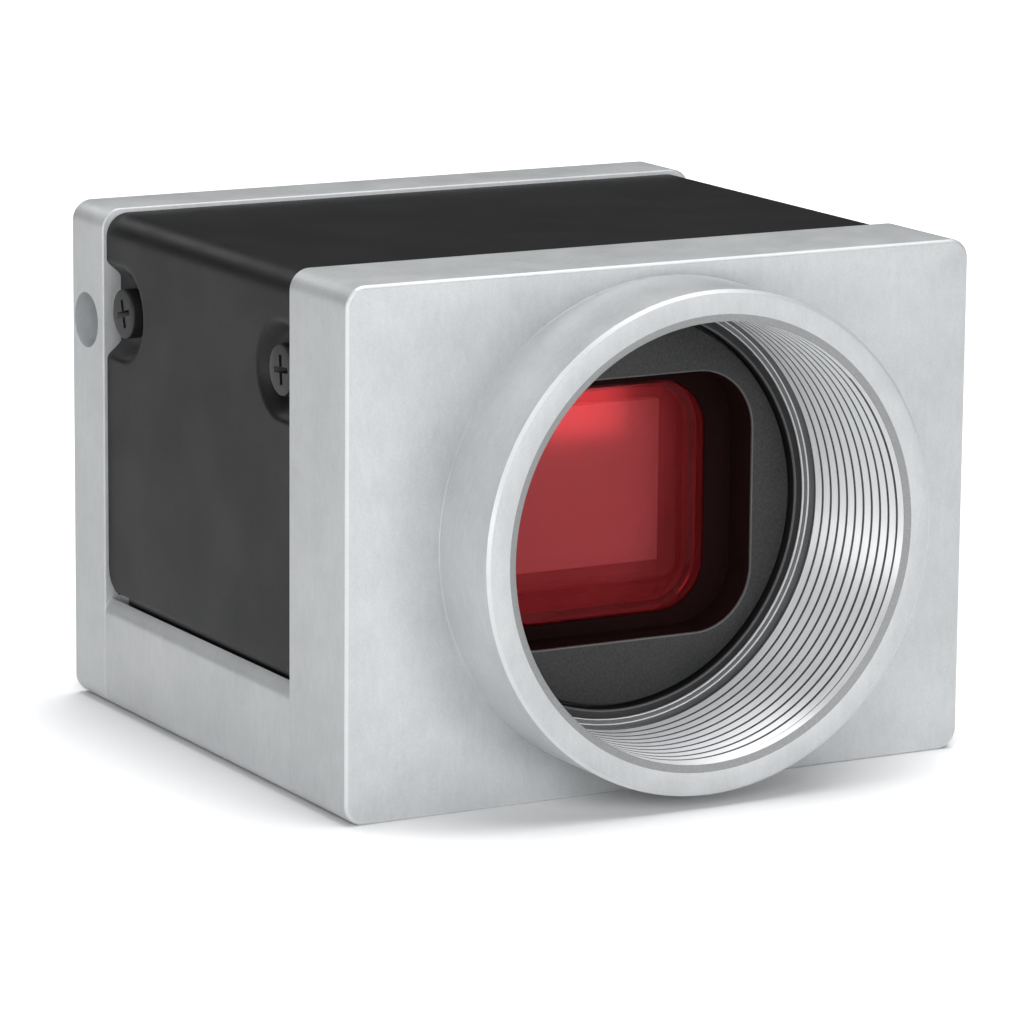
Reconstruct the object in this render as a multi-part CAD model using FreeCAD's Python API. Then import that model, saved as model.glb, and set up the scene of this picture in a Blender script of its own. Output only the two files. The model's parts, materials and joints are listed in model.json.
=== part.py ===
import FreeCAD, Part
import math
import os
from FreeCAD import Vector

# Machine vision camera with a screw lens mount, in millimetres.
# X runs across the camera, +Y from the lens mount to the rear face, +Z up.
# The origin is at the middle of the underside, halfway along the whole length.

# Housing envelope
BODY_WIDTH = 40.0
BODY_HEIGHT = 30.0
BODY_LENGTH = 35.8
PROFILE_RADIUS = 1.2
EDGE_BREAK = 0.2
SEAM_BREAK = 0.1
FRONT_PLATE_T = 6.9
REAR_PLATE_T = 4.4

# Lens mount with a 1 inch thread
MOUNT_HEIGHT = 5.5
MOUNT_OUTER_R = 14.25
MOUNT_EDGE_BREAK = 0.25
THREAD_R = 12.7
THREAD_LEAD_IN = 0.16
THREAD_END = 10.0
HOLDER_SEAT_R = 12.05
HOLDER_SEAT_DEPTH = 12.0
HOLDER_BODY_BORE_R = 11.6
FLANGE_TO_SENSOR = 17.526

# Filter holder, its clamping ring and the filter
RING_FACE_DEPTH = 10.1
RING_BORE_R = 11.5
RING_BORE_BREAK = 0.1
HOLDER_FACE_DEPTH = 10.55
HOLDER_FACE_R = 11.3
HOLDER_FLANGE_T = 0.8
HOLDER_LENGTH = 4.05
WINDOW_WIDTH = 17.5
WINDOW_HEIGHT = 15.2
WINDOW_RADIUS = 3.6
FILTER_DEPTH = 13.0
FILTER_WIDTH = 14.1
FILTER_HEIGHT = 13.6
FILTER_RADIUS = 3.0
FILTER_T = 1.0
FILTER_LEDGE = 0.5

# Image sensor
PACKAGE_WIDTH = 20.0
PACKAGE_HEIGHT = 17.0
PACKAGE_T = 2.0
PACKAGE_POCKET_CLEARANCE = 0.3
PACKAGE_POCKET_DEPTH = 4.0
COVER_GLASS_T = 0.7
COVER_GLASS_MARGIN = 1.5
DIE_WIDTH = 13.3
DIE_HEIGHT = 9.6
DIE_T = 0.6
DIE_TO_GLASS = 0.626
DIE_POCKET_MARGIN = 0.8
SEAL_WALL = 1.4

# Bottom bar of the front block
BAR_SIDE_HEIGHT = 5.85
BAR_BEVEL_HEIGHT = 0.8
BAR_BEVEL_WIDTH = 0.5
BAR_EDGE_R = 0.8
BAR_FLOOR_T = 4.0
RIB_T = 1.5
RIB_HEIGHT = 2.2
GROOVE_DEPTH = 0.6

# Sheet cover
COVER_T = 0.7
COVER_INSET = 0.25
COVER_RADIUS = 1.4
COVER_CORNER_RADIUS = 1.6
COVER_FIT = 0.05
COVER_FOOT_GAP = 0.45
TONGUE_T = 0.4
TONGUE_BOTTOM_GAP = 0.1

# Cover screws and the pressed seats they sit in
SCREW_Z = 9.1
FRONT_SCREW_SETBACK = 1.65
REAR_SCREW_SETBACK = 2.2
DIMPLE_FLOOR_R = 1.85
DIMPLE_FLANK = 1.1
DIMPLE_DEPTH = 0.9
DIMPLE_BEND_R = 0.08
DIMPLE_RECESS_CLEARANCE = 0.12
SMALL_SCREW_R = 0.8
SMALL_SCREW_HOLE_R = 0.9
SMALL_HEAD_R = 1.46
SMALL_HEAD_H = 0.85
HEAD_EDGE_R = 0.12
COVER_SCREW_LENGTH = 2.8
THREAD_FIT = 0.04
CROSS_ARM = 0.8
CROSS_WIDTH = 0.34
CROSS_DEPTH = 0.4

# Rear plate
LIP_LENGTH = 2.0
EAR_LENGTH = 3.8
EAR_HALF_HEIGHT = 3.3
EAR_DEPTH = 3.6
EAR_FILLET = 0.5
SIDE_BORE_R = 1.65
SIDE_BORE_DEPTH = 3.0
SIDE_BORE_SETBACK = 2.05
SIDE_BORE_Z = 8.1
PLATE_SCREW_X = 9.0
PLATE_SCREW_Z = 2.2
PLATE_SCREW_R = 1.0
PLATE_SCREW_HOLE_R = 1.1
PLATE_SCREW_HEAD_R = 1.75
PLATE_SCREW_LENGTH = 10.0

# Mounting holes in the underside
FOOT_HOLE_R = 1.5
FOOT_HOLE_DEPTH = 3.2
FOOT_HOLE_BREAK = 0.2
FOOT_HOLE_SPACING_X = 26.0
FOOT_HOLE_SPACING_Y = 16.0
FOOT_HOLE_FRONT_SETBACK = 10.4

# Circuit boards
BOARD_T = 1.2
BOARD_GAP = 0.5
BOARD_CORNER_R = 1.0
BOARD_HOLE_INSET = 1.7
SENSOR_STACK_GAP = 6.4
STANDOFF_ACROSS_FLATS = 3.0
STANDOFF_STUD = 2.6
BOARD_SCREW_LENGTH = 3.2
PILLAR_R = 1.9
PILLAR_HEIGHT = 2.7

# Parts on the boards
CONNECTOR_WIDTH = 16.0
CONNECTOR_DEPTH = 4.0
CONNECTOR_TONGUE_W = 1.4
CONNECTOR_TONGUE_H = 1.0
CONNECTOR_FIT = 0.1
CONNECTOR_EDGE_GAP = 0.7
CHIP_WIDTH = 10.0
CHIP_T = 1.4
CHIP_EDGE_GAP = 0.5
PAD_WIDTH = 9.0
PAD_T = 1.0
MEMORY_WIDTH = 9.0
MEMORY_HEIGHT = 6.0
MEMORY_T = 1.0
MEMORY_X = 7.5
MEMORY_Z = 3.5
SPREADER_T = 1.0
SPREADER_WIDTH = 16.0
SPREADER_TOP_MARGIN = 0.35
SPREADER_FOOT = 4.4
SPREADER_SCREW_X = 5.0
SPREADER_SCREW_LENGTH = 3.2
INDUCTOR_SIZE = 4.0
INDUCTOR_T = 1.9
OSCILLATOR_WIDTH = 3.2
OSCILLATOR_HEIGHT = 2.5
OSCILLATOR_T = 0.9
CAPACITOR_LENGTH = 1.6
CAPACITOR_WIDTH = 0.8
CAPACITOR_PITCH = 2.2
CAPACITOR_COUNT = 6

# Data connector in the rear plate
DATA_Z = 8.5
DATA_WIDTH = 12.6
DATA_HEIGHT = 3.1
DATA_SHELL_T = 0.3
DATA_CORNER_R = 0.6
DATA_PANEL_CLEARANCE = 0.4
DATA_STEP_X = 2.1
DATA_STEP_HEIGHT = 0.7
DATA_TONGUE_T = 0.6
DATA_TONGUE_INSET = 1.0
DATA_BASE_T = 1.2
DATA_CONTACT_COUNT = 5
DATA_CONTACT_PITCH = 0.65
DATA_CONTACT_WIDTH = 0.3
DATA_CONTACT_T = 0.08
DATA_LOCK_SPACING = 18.0
DATA_LOCK_R = 1.0
DATA_LOCK_DEPTH = 3.6

# Round input and output connector in the rear plate
IO_TOP_SETBACK = 9.4
IO_OUTER_R = 4.8
IO_PANEL_CLEARANCE = 0.1
IO_BORE_R = 3.9
IO_PROUD = 2.0
IO_FLANGE_R = 5.4
IO_FLANGE_T = 1.0
IO_INSERT_FACE = 5.4
IO_KEY_WIDTH = 1.0
IO_KEY_HEIGHT = 0.6
IO_PIN_COUNT = 6
IO_PIN_R = 0.35
IO_PIN_CIRCLE_R = 2.1
IO_PIN_LENGTH = 3.4
IO_EDGE_BREAK = 0.25

# Status light
LIGHT_X = -12.0
LIGHT_Z = -0.5
LIGHT_R = 0.8
LIGHT_FLANGE_R = 1.4
LIGHT_FLANGE_T = 0.6
LED_WIDTH = 1.6
LED_HEIGHT = 0.9
LED_T = 0.7
SLIP_FIT = 0.03

# Places along Y, counted from the lens mount's front face
FLANGE_Y = -(MOUNT_HEIGHT + BODY_LENGTH + IO_PROUD) / 2
FACE_Y = FLANGE_Y + MOUNT_HEIGHT
BLOCK_REAR_Y = FACE_Y + FRONT_PLATE_T
REAR_Y = FACE_Y + BODY_LENGTH
PLATE_FRONT_Y = REAR_Y - REAR_PLATE_T
HOLDER_REAR_Y = FLANGE_Y + HOLDER_FACE_DEPTH + HOLDER_LENGTH
DIE_Y = FLANGE_Y + FLANGE_TO_SENSOR
PACKAGE_Y = DIE_Y - DIE_TO_GLASS
BOARD_SEAT_Y = PACKAGE_Y + PACKAGE_T
PROCESSOR_Y = BOARD_SEAT_Y + BOARD_T + SENSOR_STACK_GAP
INTERFACE_REAR_Y = PLATE_FRONT_Y - PILLAR_HEIGHT
INTERFACE_Y = INTERFACE_REAR_Y - BOARD_T
FRONT_SCREW_Y = BLOCK_REAR_Y + FRONT_SCREW_SETBACK
REAR_SCREW_Y = PLATE_FRONT_Y - REAR_SCREW_SETBACK

# Places across X and up Z, counted from the optical axis
AXIS_Z = BODY_HEIGHT / 2
IO_Z = BODY_HEIGHT - IO_TOP_SETBACK
SIDE_X = BODY_WIDTH / 2
COVER_X = SIDE_X - COVER_INSET
COVER_TOP_Z = AXIS_Z + BODY_HEIGHT / 2 - COVER_INSET
INNER_X = COVER_X - COVER_T - COVER_FIT
INNER_TOP_Z = COVER_TOP_Z - COVER_T - COVER_FIT
FLOOR_Z = BAR_FLOOR_T
SHELF_Z = BAR_SIDE_HEIGHT + BAR_BEVEL_HEIGHT
RIB_TOP_Z = SHELF_Z + RIB_HEIGHT
SEAT_X = COVER_X - COVER_T - DIMPLE_DEPTH
HEAD_SEAT_X = COVER_X - DIMPLE_DEPTH
DIMPLE_RIM_R = DIMPLE_FLOOR_R + DIMPLE_FLANK
BOARD_HALF_X = INNER_X - RIB_T - BOARD_GAP
INTERFACE_HALF_X = INNER_X - EAR_DEPTH - BOARD_GAP
BOARD_BOTTOM_Z = FLOOR_Z + SPREADER_T + SMALL_HEAD_H + BOARD_GAP
BOARD_TOP_Z = INNER_TOP_Z - RIB_T - BOARD_GAP
SENSOR_CONNECTOR_Z = BOARD_BOTTOM_Z + CONNECTOR_EDGE_GAP + CONNECTOR_DEPTH / 2
REAR_CONNECTOR_Z = BOARD_TOP_Z - CONNECTOR_EDGE_GAP - CONNECTOR_DEPTH / 2
CHIP_Z = BOARD_BOTTOM_Z + CHIP_EDGE_GAP + CHIP_WIDTH / 2


def block(x0, x1, y0, y1, z0, z1):
    """A box between two values on each axis."""
    return Part.makeBox(x1 - x0, y1 - y0, z1 - z0, Vector(x0, y0, z0))


def rod_y(radius, y0, y1, x=0.0, z=AXIS_Z):
    """A cylinder along Y."""
    return Part.makeCylinder(radius, y1 - y0, Vector(x, y0, z), Vector(0, 1, 0))


def rod_x(radius, x0, x1, y, z):
    """A cylinder along X."""
    return Part.makeCylinder(radius, x1 - x0, Vector(x0, y, z), Vector(1, 0, 0))


def rod_z(radius, z0, z1, x, y):
    """A cylinder along Z."""
    return Part.makeCylinder(radius, z1 - z0, Vector(x, y, z0), Vector(0, 0, 1))


def outline(points, y):
    """A closed face in a plane across Y from (x, z) points."""
    corners = [Vector(x, y, z) for x, z in points]
    return Part.Face(Part.makePolygon(corners + corners[:1]))


def prism(points, y0, y1):
    """A straight prism along Y from (x, z) points."""
    return outline(points, y0).extrude(Vector(0, y1 - y0, 0))


def rounded_block(width, height, radius, y0, y1, x=0.0, z=AXIS_Z):
    """A box with its four edges along Y rounded."""
    solid = block(x - width / 2, x + width / 2, y0, y1, z - height / 2, z + height / 2)
    edges = [e for e in solid.Edges if abs(e.tangentAt(e.FirstParameter).y) > 0.99]
    return solid.makeFillet(radius, edges)


def edges_at_y(solid, y):
    """The edges of a solid that lie wholly in one plane across Y."""
    return [e for e in solid.Edges if all(abs(v.Point.y - y) < 1e-6 for v in e.Vertexes)]


def turned(profile, z=AXIS_Z, x=0.0):
    """A solid turned about an axis along Y from (radius, y) points."""
    corners = [Vector(x + r, y, z) for r, y in profile]
    face = Part.Face(Part.makePolygon(corners + corners[:1]))
    return face.revolve(Vector(x, 0, z), Vector(0, 1, 0), 360)


def join(shapes):
    """One solid from shapes that touch or overlap."""
    return shapes[0].fuse(shapes[1:]).removeSplitter()


def mirrored(solid):
    """The same solid on the other side of the YZ plane."""
    return solid.mirror(Vector(0, 0, 0), Vector(1, 0, 0))


def both_sides(solid):
    """A solid and its mirror image across the YZ plane."""
    return [solid, mirrored(solid)]


def cross_recess(top):
    """The cross cut in a screw head whose top is at a height on the screw's own axis."""
    low = top - CROSS_DEPTH
    arm = Part.makeBox(2 * CROSS_ARM, CROSS_WIDTH, CROSS_DEPTH, Vector(-CROSS_ARM, -CROSS_WIDTH / 2, low))
    return arm.fuse(arm.copy().rotate(Vector(0, 0, 0), Vector(0, 0, 1), 90))


def pan_screw(length):
    """A small cross-head screw that points down its own Z axis, with its seat at zero."""
    head = Part.makeCylinder(SMALL_HEAD_R, SMALL_HEAD_H)
    rim = [e for e in head.Edges if abs(e.CenterOfMass.z - SMALL_HEAD_H) < 1e-6]
    head = head.makeFillet(HEAD_EDGE_R, rim)
    shank_r = SMALL_SCREW_R - THREAD_FIT
    shank = Part.makeCylinder(shank_r, length, Vector(0, 0, -length))
    return join([head, shank]).cut(cross_recess(SMALL_HEAD_H))


def aimed(solid, direction, place):
    """A solid drawn along +Z, turned to a direction and moved to its place."""
    turn = FreeCAD.Rotation(Vector(0, 0, 1), direction)
    solid.Placement = FreeCAD.Placement(place, turn)
    return solid


def board_corners(x):
    """The four fixing points of a board, as (x, z)."""
    heights = (BOARD_TOP_Z - BOARD_HOLE_INSET, BOARD_BOTTOM_Z + BOARD_HOLE_INSET)
    return [(sx * x, z) for sx in (-1, 1) for z in heights]


def standoff_points():
    return board_corners(BOARD_HALF_X - BOARD_HOLE_INSET)


def pillar_points():
    return board_corners(INTERFACE_HALF_X - PILLAR_R)


def foot_hole_points():
    """The four mounting holes in the underside, as (x, y)."""
    front = FACE_Y + FOOT_HOLE_FRONT_SETBACK
    rows = (front, front + FOOT_HOLE_SPACING_Y)
    return [(sx * FOOT_HOLE_SPACING_X / 2, y) for sx in (-1, 1) for y in rows]


def spreader_screw_y():
    spreader_rear = PROCESSOR_Y + BOARD_T + CHIP_T + PAD_T + SPREADER_T
    return spreader_rear + SPREADER_FOOT / 2


def front_plate():
    """The front plate with the raised ring of the lens mount."""
    plate = rounded_block(BODY_WIDTH, BODY_HEIGHT, PROFILE_RADIUS, FACE_Y, BLOCK_REAR_Y)
    plate = plate.makeChamfer(EDGE_BREAK, edges_at_y(plate, FACE_Y))
    ring = rod_y(MOUNT_OUTER_R, FLANGE_Y, BLOCK_REAR_Y)
    ring = ring.makeChamfer(MOUNT_EDGE_BREAK, edges_at_y(ring, FLANGE_Y))
    return join([plate, ring])


def bottom_bar():
    """The bar along the underside, with a bevel, a groove and a rib for each cover edge."""
    half = [
        (SIDE_X, 0.0),
        (SIDE_X, BAR_SIDE_HEIGHT),
        (SIDE_X - BAR_BEVEL_WIDTH, SHELF_Z),
        (SIDE_X - BAR_BEVEL_WIDTH, SHELF_Z - GROOVE_DEPTH),
        (INNER_X, SHELF_Z - GROOVE_DEPTH),
        (INNER_X, RIB_TOP_Z),
        (INNER_X - RIB_T, RIB_TOP_Z),
        (INNER_X - RIB_T, FLOOR_Z),
    ]
    points = half + [(-x, z) for x, z in reversed(half)]
    bar = prism(points, BLOCK_REAR_Y, PLATE_FRONT_Y)
    bar = bar.makeFillet(BAR_EDGE_R, [e for e in bar.Edges if on_bar_edge(e)])
    body = rounded_block(BODY_WIDTH, BODY_HEIGHT, PROFILE_RADIUS, BLOCK_REAR_Y, PLATE_FRONT_Y)
    return bar.common(body)


def on_bar_edge(edge):
    """Whether an edge is the long one between a side of the bar and its bevel."""
    middle = edge.CenterOfMass
    return abs(abs(middle.x) - SIDE_X) < 1e-6 and abs(middle.z - BAR_SIDE_HEIGHT) < 1e-6


def sensor_frame():
    """The thick frame behind the front plate that the sensor board screws to."""
    width = 2 * INNER_X
    frame = block(-width / 2, width / 2, BLOCK_REAR_Y, BOARD_SEAT_Y, FLOOR_Z, INNER_TOP_Z)
    upper = [
        e
        for e in frame.Edges
        if abs(e.CenterOfMass.z - INNER_TOP_Z) < 1e-6 and abs(e.tangentAt(e.FirstParameter).y) > 0.99
    ]
    return frame.makeFillet(COVER_RADIUS - COVER_T, upper)


def mount_bore():
    """The stepped bore of the lens mount, from the flange to the sensor pocket."""
    mouth_r = THREAD_R + THREAD_LEAD_IN
    seat_y = FLANGE_Y + HOLDER_SEAT_DEPTH
    profile = [
        (0, FLANGE_Y),
        (mouth_r, FLANGE_Y),
        (THREAD_R, FLANGE_Y + THREAD_LEAD_IN),
        (THREAD_R, FLANGE_Y + THREAD_END),
        (HOLDER_SEAT_R, FLANGE_Y + THREAD_END),
        (HOLDER_SEAT_R, seat_y),
        (HOLDER_BODY_BORE_R, seat_y),
        (HOLDER_BODY_BORE_R, BOARD_SEAT_Y - PACKAGE_POCKET_DEPTH),
        (0, BOARD_SEAT_Y - PACKAGE_POCKET_DEPTH),
    ]
    pocket = rounded_block(
        PACKAGE_WIDTH + 2 * PACKAGE_POCKET_CLEARANCE,
        PACKAGE_HEIGHT + 2 * PACKAGE_POCKET_CLEARANCE,
        BOARD_CORNER_R,
        BOARD_SEAT_Y - PACKAGE_POCKET_DEPTH,
        BOARD_SEAT_Y,
    )
    return [turned(profile), pocket]


def seat_outline(radius, x0, x1, y, edge_y):
    """The volume of a round seat that runs on to an edge of the cover, on the +X side."""
    z = AXIS_Z + SCREW_Z
    far_y = y - math.copysign(radius, edge_y - y)
    run = block(x0, x1, min(y, edge_y), max(y, edge_y), z - radius, z + radius)
    span = block(x0, x1, min(far_y, edge_y), max(far_y, edge_y), z - radius, z + radius)
    return rod_x(radius, x0, x1, y, z).common(span).fuse(run)


def dimple_seat(y, edge_y):
    """The recess and tapped hole under one pressed screw seat, on the +X side."""
    recess = seat_outline(DIMPLE_RIM_R + DIMPLE_RECESS_CLEARANCE, SEAT_X, SIDE_X, y, edge_y)
    depth = COVER_SCREW_LENGTH - COVER_T + SMALL_SCREW_R
    hole = rod_x(SMALL_SCREW_R, SEAT_X - depth, SEAT_X, y, AXIS_Z + SCREW_Z)
    return recess.fuse(hole)


def front_block():
    """Front plate, lens mount ring, sensor frame and bottom bar milled from one piece."""
    body = join([front_plate(), bottom_bar(), sensor_frame()])
    cuts = mount_bore()
    cuts += both_sides(dimple_seat(FRONT_SCREW_Y, BLOCK_REAR_Y))
    for x, z in standoff_points():
        cuts.append(rod_y(SMALL_SCREW_R, BOARD_SEAT_Y - STANDOFF_STUD, BOARD_SEAT_Y, x, z))
    for x, y in foot_hole_points():
        cuts.append(rod_z(FOOT_HOLE_R, 0, FOOT_HOLE_DEPTH, x, y))
        cuts.append(Part.makeCone(FOOT_HOLE_R + FOOT_HOLE_BREAK, FOOT_HOLE_R, FOOT_HOLE_BREAK, Vector(x, y, 0)))
    grip = PLATE_SCREW_LENGTH - REAR_PLATE_T + PLATE_SCREW_R
    for x in (-PLATE_SCREW_X, PLATE_SCREW_X):
        cuts.append(rod_y(PLATE_SCREW_R, PLATE_FRONT_Y - grip, PLATE_FRONT_Y, x, PLATE_SCREW_Z))
    for x in (-SPREADER_SCREW_X, SPREADER_SCREW_X):
        depth = SPREADER_SCREW_LENGTH - SPREADER_T + THREAD_FIT
        cuts.append(rod_z(SMALL_SCREW_R, FLOOR_Z - depth, FLOOR_Z, x, spreader_screw_y()))
    return body.cut(cuts).removeSplitter()


def retaining_ring():
    """The thin black ring that clamps the filter holder in the mount."""
    front = FLANGE_Y + RING_FACE_DEPTH
    rear = FLANGE_Y + HOLDER_SEAT_DEPTH - HOLDER_FLANGE_T
    outer = HOLDER_SEAT_R - SLIP_FIT
    return turned(
        [
            (outer, front),
            (outer, rear),
            (RING_BORE_R, rear),
            (RING_BORE_R, front + RING_BORE_BREAK),
            (RING_BORE_R + RING_BORE_BREAK, front),
        ]
    )


def filter_holder():
    """The black holder with its window, its flange and the recess for the filter."""
    seat_y = FLANGE_Y + HOLDER_SEAT_DEPTH
    face_y = FLANGE_Y + HOLDER_FACE_DEPTH
    filter_y = FLANGE_Y + FILTER_DEPTH
    flange_r = HOLDER_SEAT_R - SLIP_FIT
    body_r = HOLDER_BODY_BORE_R - SLIP_FIT
    body = turned(
        [
            (0, face_y),
            (HOLDER_FACE_R, face_y),
            (HOLDER_FACE_R, seat_y - HOLDER_FLANGE_T),
            (flange_r, seat_y - HOLDER_FLANGE_T),
            (flange_r, seat_y),
            (body_r, seat_y),
            (body_r, HOLDER_REAR_Y),
            (0, HOLDER_REAR_Y),
        ]
    )
    window = rounded_block(WINDOW_WIDTH, WINDOW_HEIGHT, WINDOW_RADIUS, face_y, filter_y)
    recess = rounded_block(
        FILTER_WIDTH + 2 * SLIP_FIT,
        FILTER_HEIGHT + 2 * SLIP_FIT,
        FILTER_RADIUS,
        filter_y,
        filter_y + FILTER_T,
    )
    aperture = rounded_block(
        FILTER_WIDTH - 2 * FILTER_LEDGE,
        FILTER_HEIGHT - 2 * FILTER_LEDGE,
        FILTER_RADIUS - FILTER_LEDGE,
        filter_y,
        HOLDER_REAR_Y,
    )
    return body.cut([window, recess, aperture])


def ir_cut_filter():
    """The coated glass plate that keeps infrared light from the sensor."""
    front = FLANGE_Y + FILTER_DEPTH
    return rounded_block(FILTER_WIDTH, FILTER_HEIGHT, FILTER_RADIUS, front, front + FILTER_T)


def glass_outline(margin, y0, y1):
    """A rounded block that stands in from the sensor package by a margin."""
    width = PACKAGE_WIDTH - 2 * margin
    height = PACKAGE_HEIGHT - 2 * margin
    return rounded_block(width, height, BOARD_CORNER_R, y0, y1)


def sensor_seal():
    """The soft frame that seals the space between the filter holder and the sensor glass."""
    glass_y = PACKAGE_Y - COVER_GLASS_T
    outer = glass_outline(COVER_GLASS_MARGIN, HOLDER_REAR_Y, glass_y)
    inner = glass_outline(COVER_GLASS_MARGIN + SEAL_WALL, HOLDER_REAR_Y, glass_y)
    return outer.cut(inner)


def sensor_cover_glass():
    return glass_outline(COVER_GLASS_MARGIN, PACKAGE_Y - COVER_GLASS_T, PACKAGE_Y)


def sensor_package():
    """The ceramic body of the sensor, open to the front over the die."""
    body = glass_outline(0, PACKAGE_Y, BOARD_SEAT_Y)
    pocket = rounded_block(
        DIE_WIDTH + 2 * DIE_POCKET_MARGIN,
        DIE_HEIGHT + 2 * DIE_POCKET_MARGIN,
        DIE_POCKET_MARGIN,
        PACKAGE_Y,
        DIE_Y + DIE_T,
    )
    return body.cut(pocket)


def sensor_die():
    """The light-sensitive chip, with its face at the flange focal distance."""
    bottom = AXIS_Z - DIE_HEIGHT / 2
    return block(-DIE_WIDTH / 2, DIE_WIDTH / 2, DIE_Y, DIE_Y + DIE_T, bottom, bottom + DIE_HEIGHT)


def circuit_board(y, half_x, holes):
    """A board across the housing with screw holes at (x, z) points."""
    width = 2 * half_x
    height = BOARD_TOP_Z - BOARD_BOTTOM_Z
    middle = (BOARD_TOP_Z + BOARD_BOTTOM_Z) / 2
    board = rounded_block(width, height, BOARD_CORNER_R, y, y + BOARD_T, 0.0, middle)
    return board.cut([rod_y(SMALL_SCREW_HOLE_R, y, y + BOARD_T, x, z) for x, z in holes])


def board_standoff(x, z):
    """A hexagonal standoff with a stud through the sensor board into the frame."""
    front = BOARD_SEAT_Y + BOARD_T
    corner_r = STANDOFF_ACROSS_FLATS / math.sqrt(3)
    angles = [math.radians(60 * i) for i in range(6)]
    points = [(x + corner_r * math.cos(a), z + corner_r * math.sin(a)) for a in angles]
    stud_r = SMALL_SCREW_R - THREAD_FIT
    stud = rod_y(stud_r, BOARD_SEAT_Y - STANDOFF_STUD + THREAD_FIT, front, x, z)
    body = join([prism(points, front, PROCESSOR_Y), stud])
    grip = BOARD_SCREW_LENGTH - BOARD_T + SMALL_SCREW_R
    return body.cut(rod_y(SMALL_SCREW_R, PROCESSOR_Y - grip, PROCESSOR_Y, x, z))


def board_connector(y0, y1, z, tongue_forward):
    """One half of a board-to-board connector, with a tongue or the slot that takes it."""
    half_x = CONNECTOR_WIDTH / 2
    half_z = CONNECTOR_DEPTH / 2
    body = block(-half_x, half_x, y0, y1, z - half_z, z + half_z)
    slot_x = half_x - CONNECTOR_TONGUE_W
    if tongue_forward:
        tongue_half = CONNECTOR_TONGUE_W / 2
        tongue = block(-slot_x, slot_x, y0 - CONNECTOR_TONGUE_H, y0, z - tongue_half, z + tongue_half)
        return join([body, tongue])
    slot_half = CONNECTOR_TONGUE_W / 2 + CONNECTOR_FIT
    reach = slot_x + CONNECTOR_FIT
    floor = y1 - CONNECTOR_TONGUE_H - CONNECTOR_FIT
    return body.cut(block(-reach, reach, floor, y1, z - slot_half, z + slot_half))


def connector_pair(y0, y1, z):
    """The front half with the slot and the rear half with the tongue."""
    middle = (y0 + y1) / 2
    return board_connector(y0, middle, z, False), board_connector(middle, y1, z, True)


def processor_chip():
    """The image processor on the rear of its board."""
    front = PROCESSOR_Y + BOARD_T
    half = CHIP_WIDTH / 2
    return block(-half, half, front, front + CHIP_T, CHIP_Z - half, CHIP_Z + half)


def thermal_pad():
    """The soft pad between the processor and the heat spreader."""
    front = PROCESSOR_Y + BOARD_T + CHIP_T
    half = PAD_WIDTH / 2
    return block(-half, half, front, front + PAD_T, CHIP_Z - half, CHIP_Z + half)


def memory_chips():
    """Two memory chips on the front of the processor board."""
    bottom = AXIS_Z + MEMORY_Z - MEMORY_HEIGHT / 2
    low_x = MEMORY_X - MEMORY_WIDTH / 2
    chip = block(low_x, low_x + MEMORY_WIDTH, PROCESSOR_Y - MEMORY_T, PROCESSOR_Y, bottom, bottom + MEMORY_HEIGHT)
    return both_sides(chip)


def heat_spreader():
    """The bent plate that leads the processor's heat down into the bottom bar."""
    front = PROCESSOR_Y + BOARD_T + CHIP_T + PAD_T
    rear = front + SPREADER_T
    half = SPREADER_WIDTH / 2
    top = CHIP_Z + PAD_WIDTH / 2 + SPREADER_TOP_MARGIN
    leaf = block(-half, half, front, rear, FLOOR_Z, top)
    foot = block(-half, half, rear, rear + SPREADER_FOOT, FLOOR_Z, FLOOR_Z + SPREADER_T)
    bracket = join([leaf, foot])
    holes = [
        rod_z(SMALL_SCREW_HOLE_R, FLOOR_Z, FLOOR_Z + SPREADER_T, x, spreader_screw_y())
        for x in (-SPREADER_SCREW_X, SPREADER_SCREW_X)
    ]
    return bracket.cut(holes)


def spreader_screws():
    """The screws that hold the heat spreader down on the bar."""
    seat = FLOOR_Z + SPREADER_T
    places = [Vector(x, spreader_screw_y(), seat) for x in (-SPREADER_SCREW_X, SPREADER_SCREW_X)]
    return [aimed(pan_screw(SPREADER_SCREW_LENGTH), Vector(0, 0, 1), p) for p in places]


def processor_board_screws():
    seat = PROCESSOR_Y + BOARD_T
    places = [Vector(x, seat, z) for x, z in standoff_points()]
    return [aimed(pan_screw(BOARD_SCREW_LENGTH), Vector(0, 1, 0), p) for p in places]


def interface_board_screws():
    places = [Vector(x, INTERFACE_Y, z) for x, z in pillar_points()]
    return [aimed(pan_screw(BOARD_SCREW_LENGTH), Vector(0, -1, 0), p) for p in places]


def power_inductor():
    """The square coil of the supply on the front of the interface board."""
    half = INDUCTOR_SIZE / 2
    low_x = CONNECTOR_WIDTH / 2
    bottom = AXIS_Z - half
    body = block(low_x, low_x + INDUCTOR_SIZE, INTERFACE_Y - INDUCTOR_T, INTERFACE_Y, bottom, bottom + INDUCTOR_SIZE)
    return body.makeChamfer(INDUCTOR_SIZE / 8, [e for e in body.Edges if abs(e.tangentAt(0).y) > 0.99])


def clock_oscillator():
    """The metal can of the clock on the rear of the sensor board."""
    rear = BOARD_SEAT_Y + BOARD_T
    low_x = CONNECTOR_WIDTH / 4
    bottom = SENSOR_CONNECTOR_Z + CONNECTOR_DEPTH
    return block(low_x, low_x + OSCILLATOR_WIDTH, rear, rear + OSCILLATOR_T, bottom, bottom + OSCILLATOR_HEIGHT)


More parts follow.
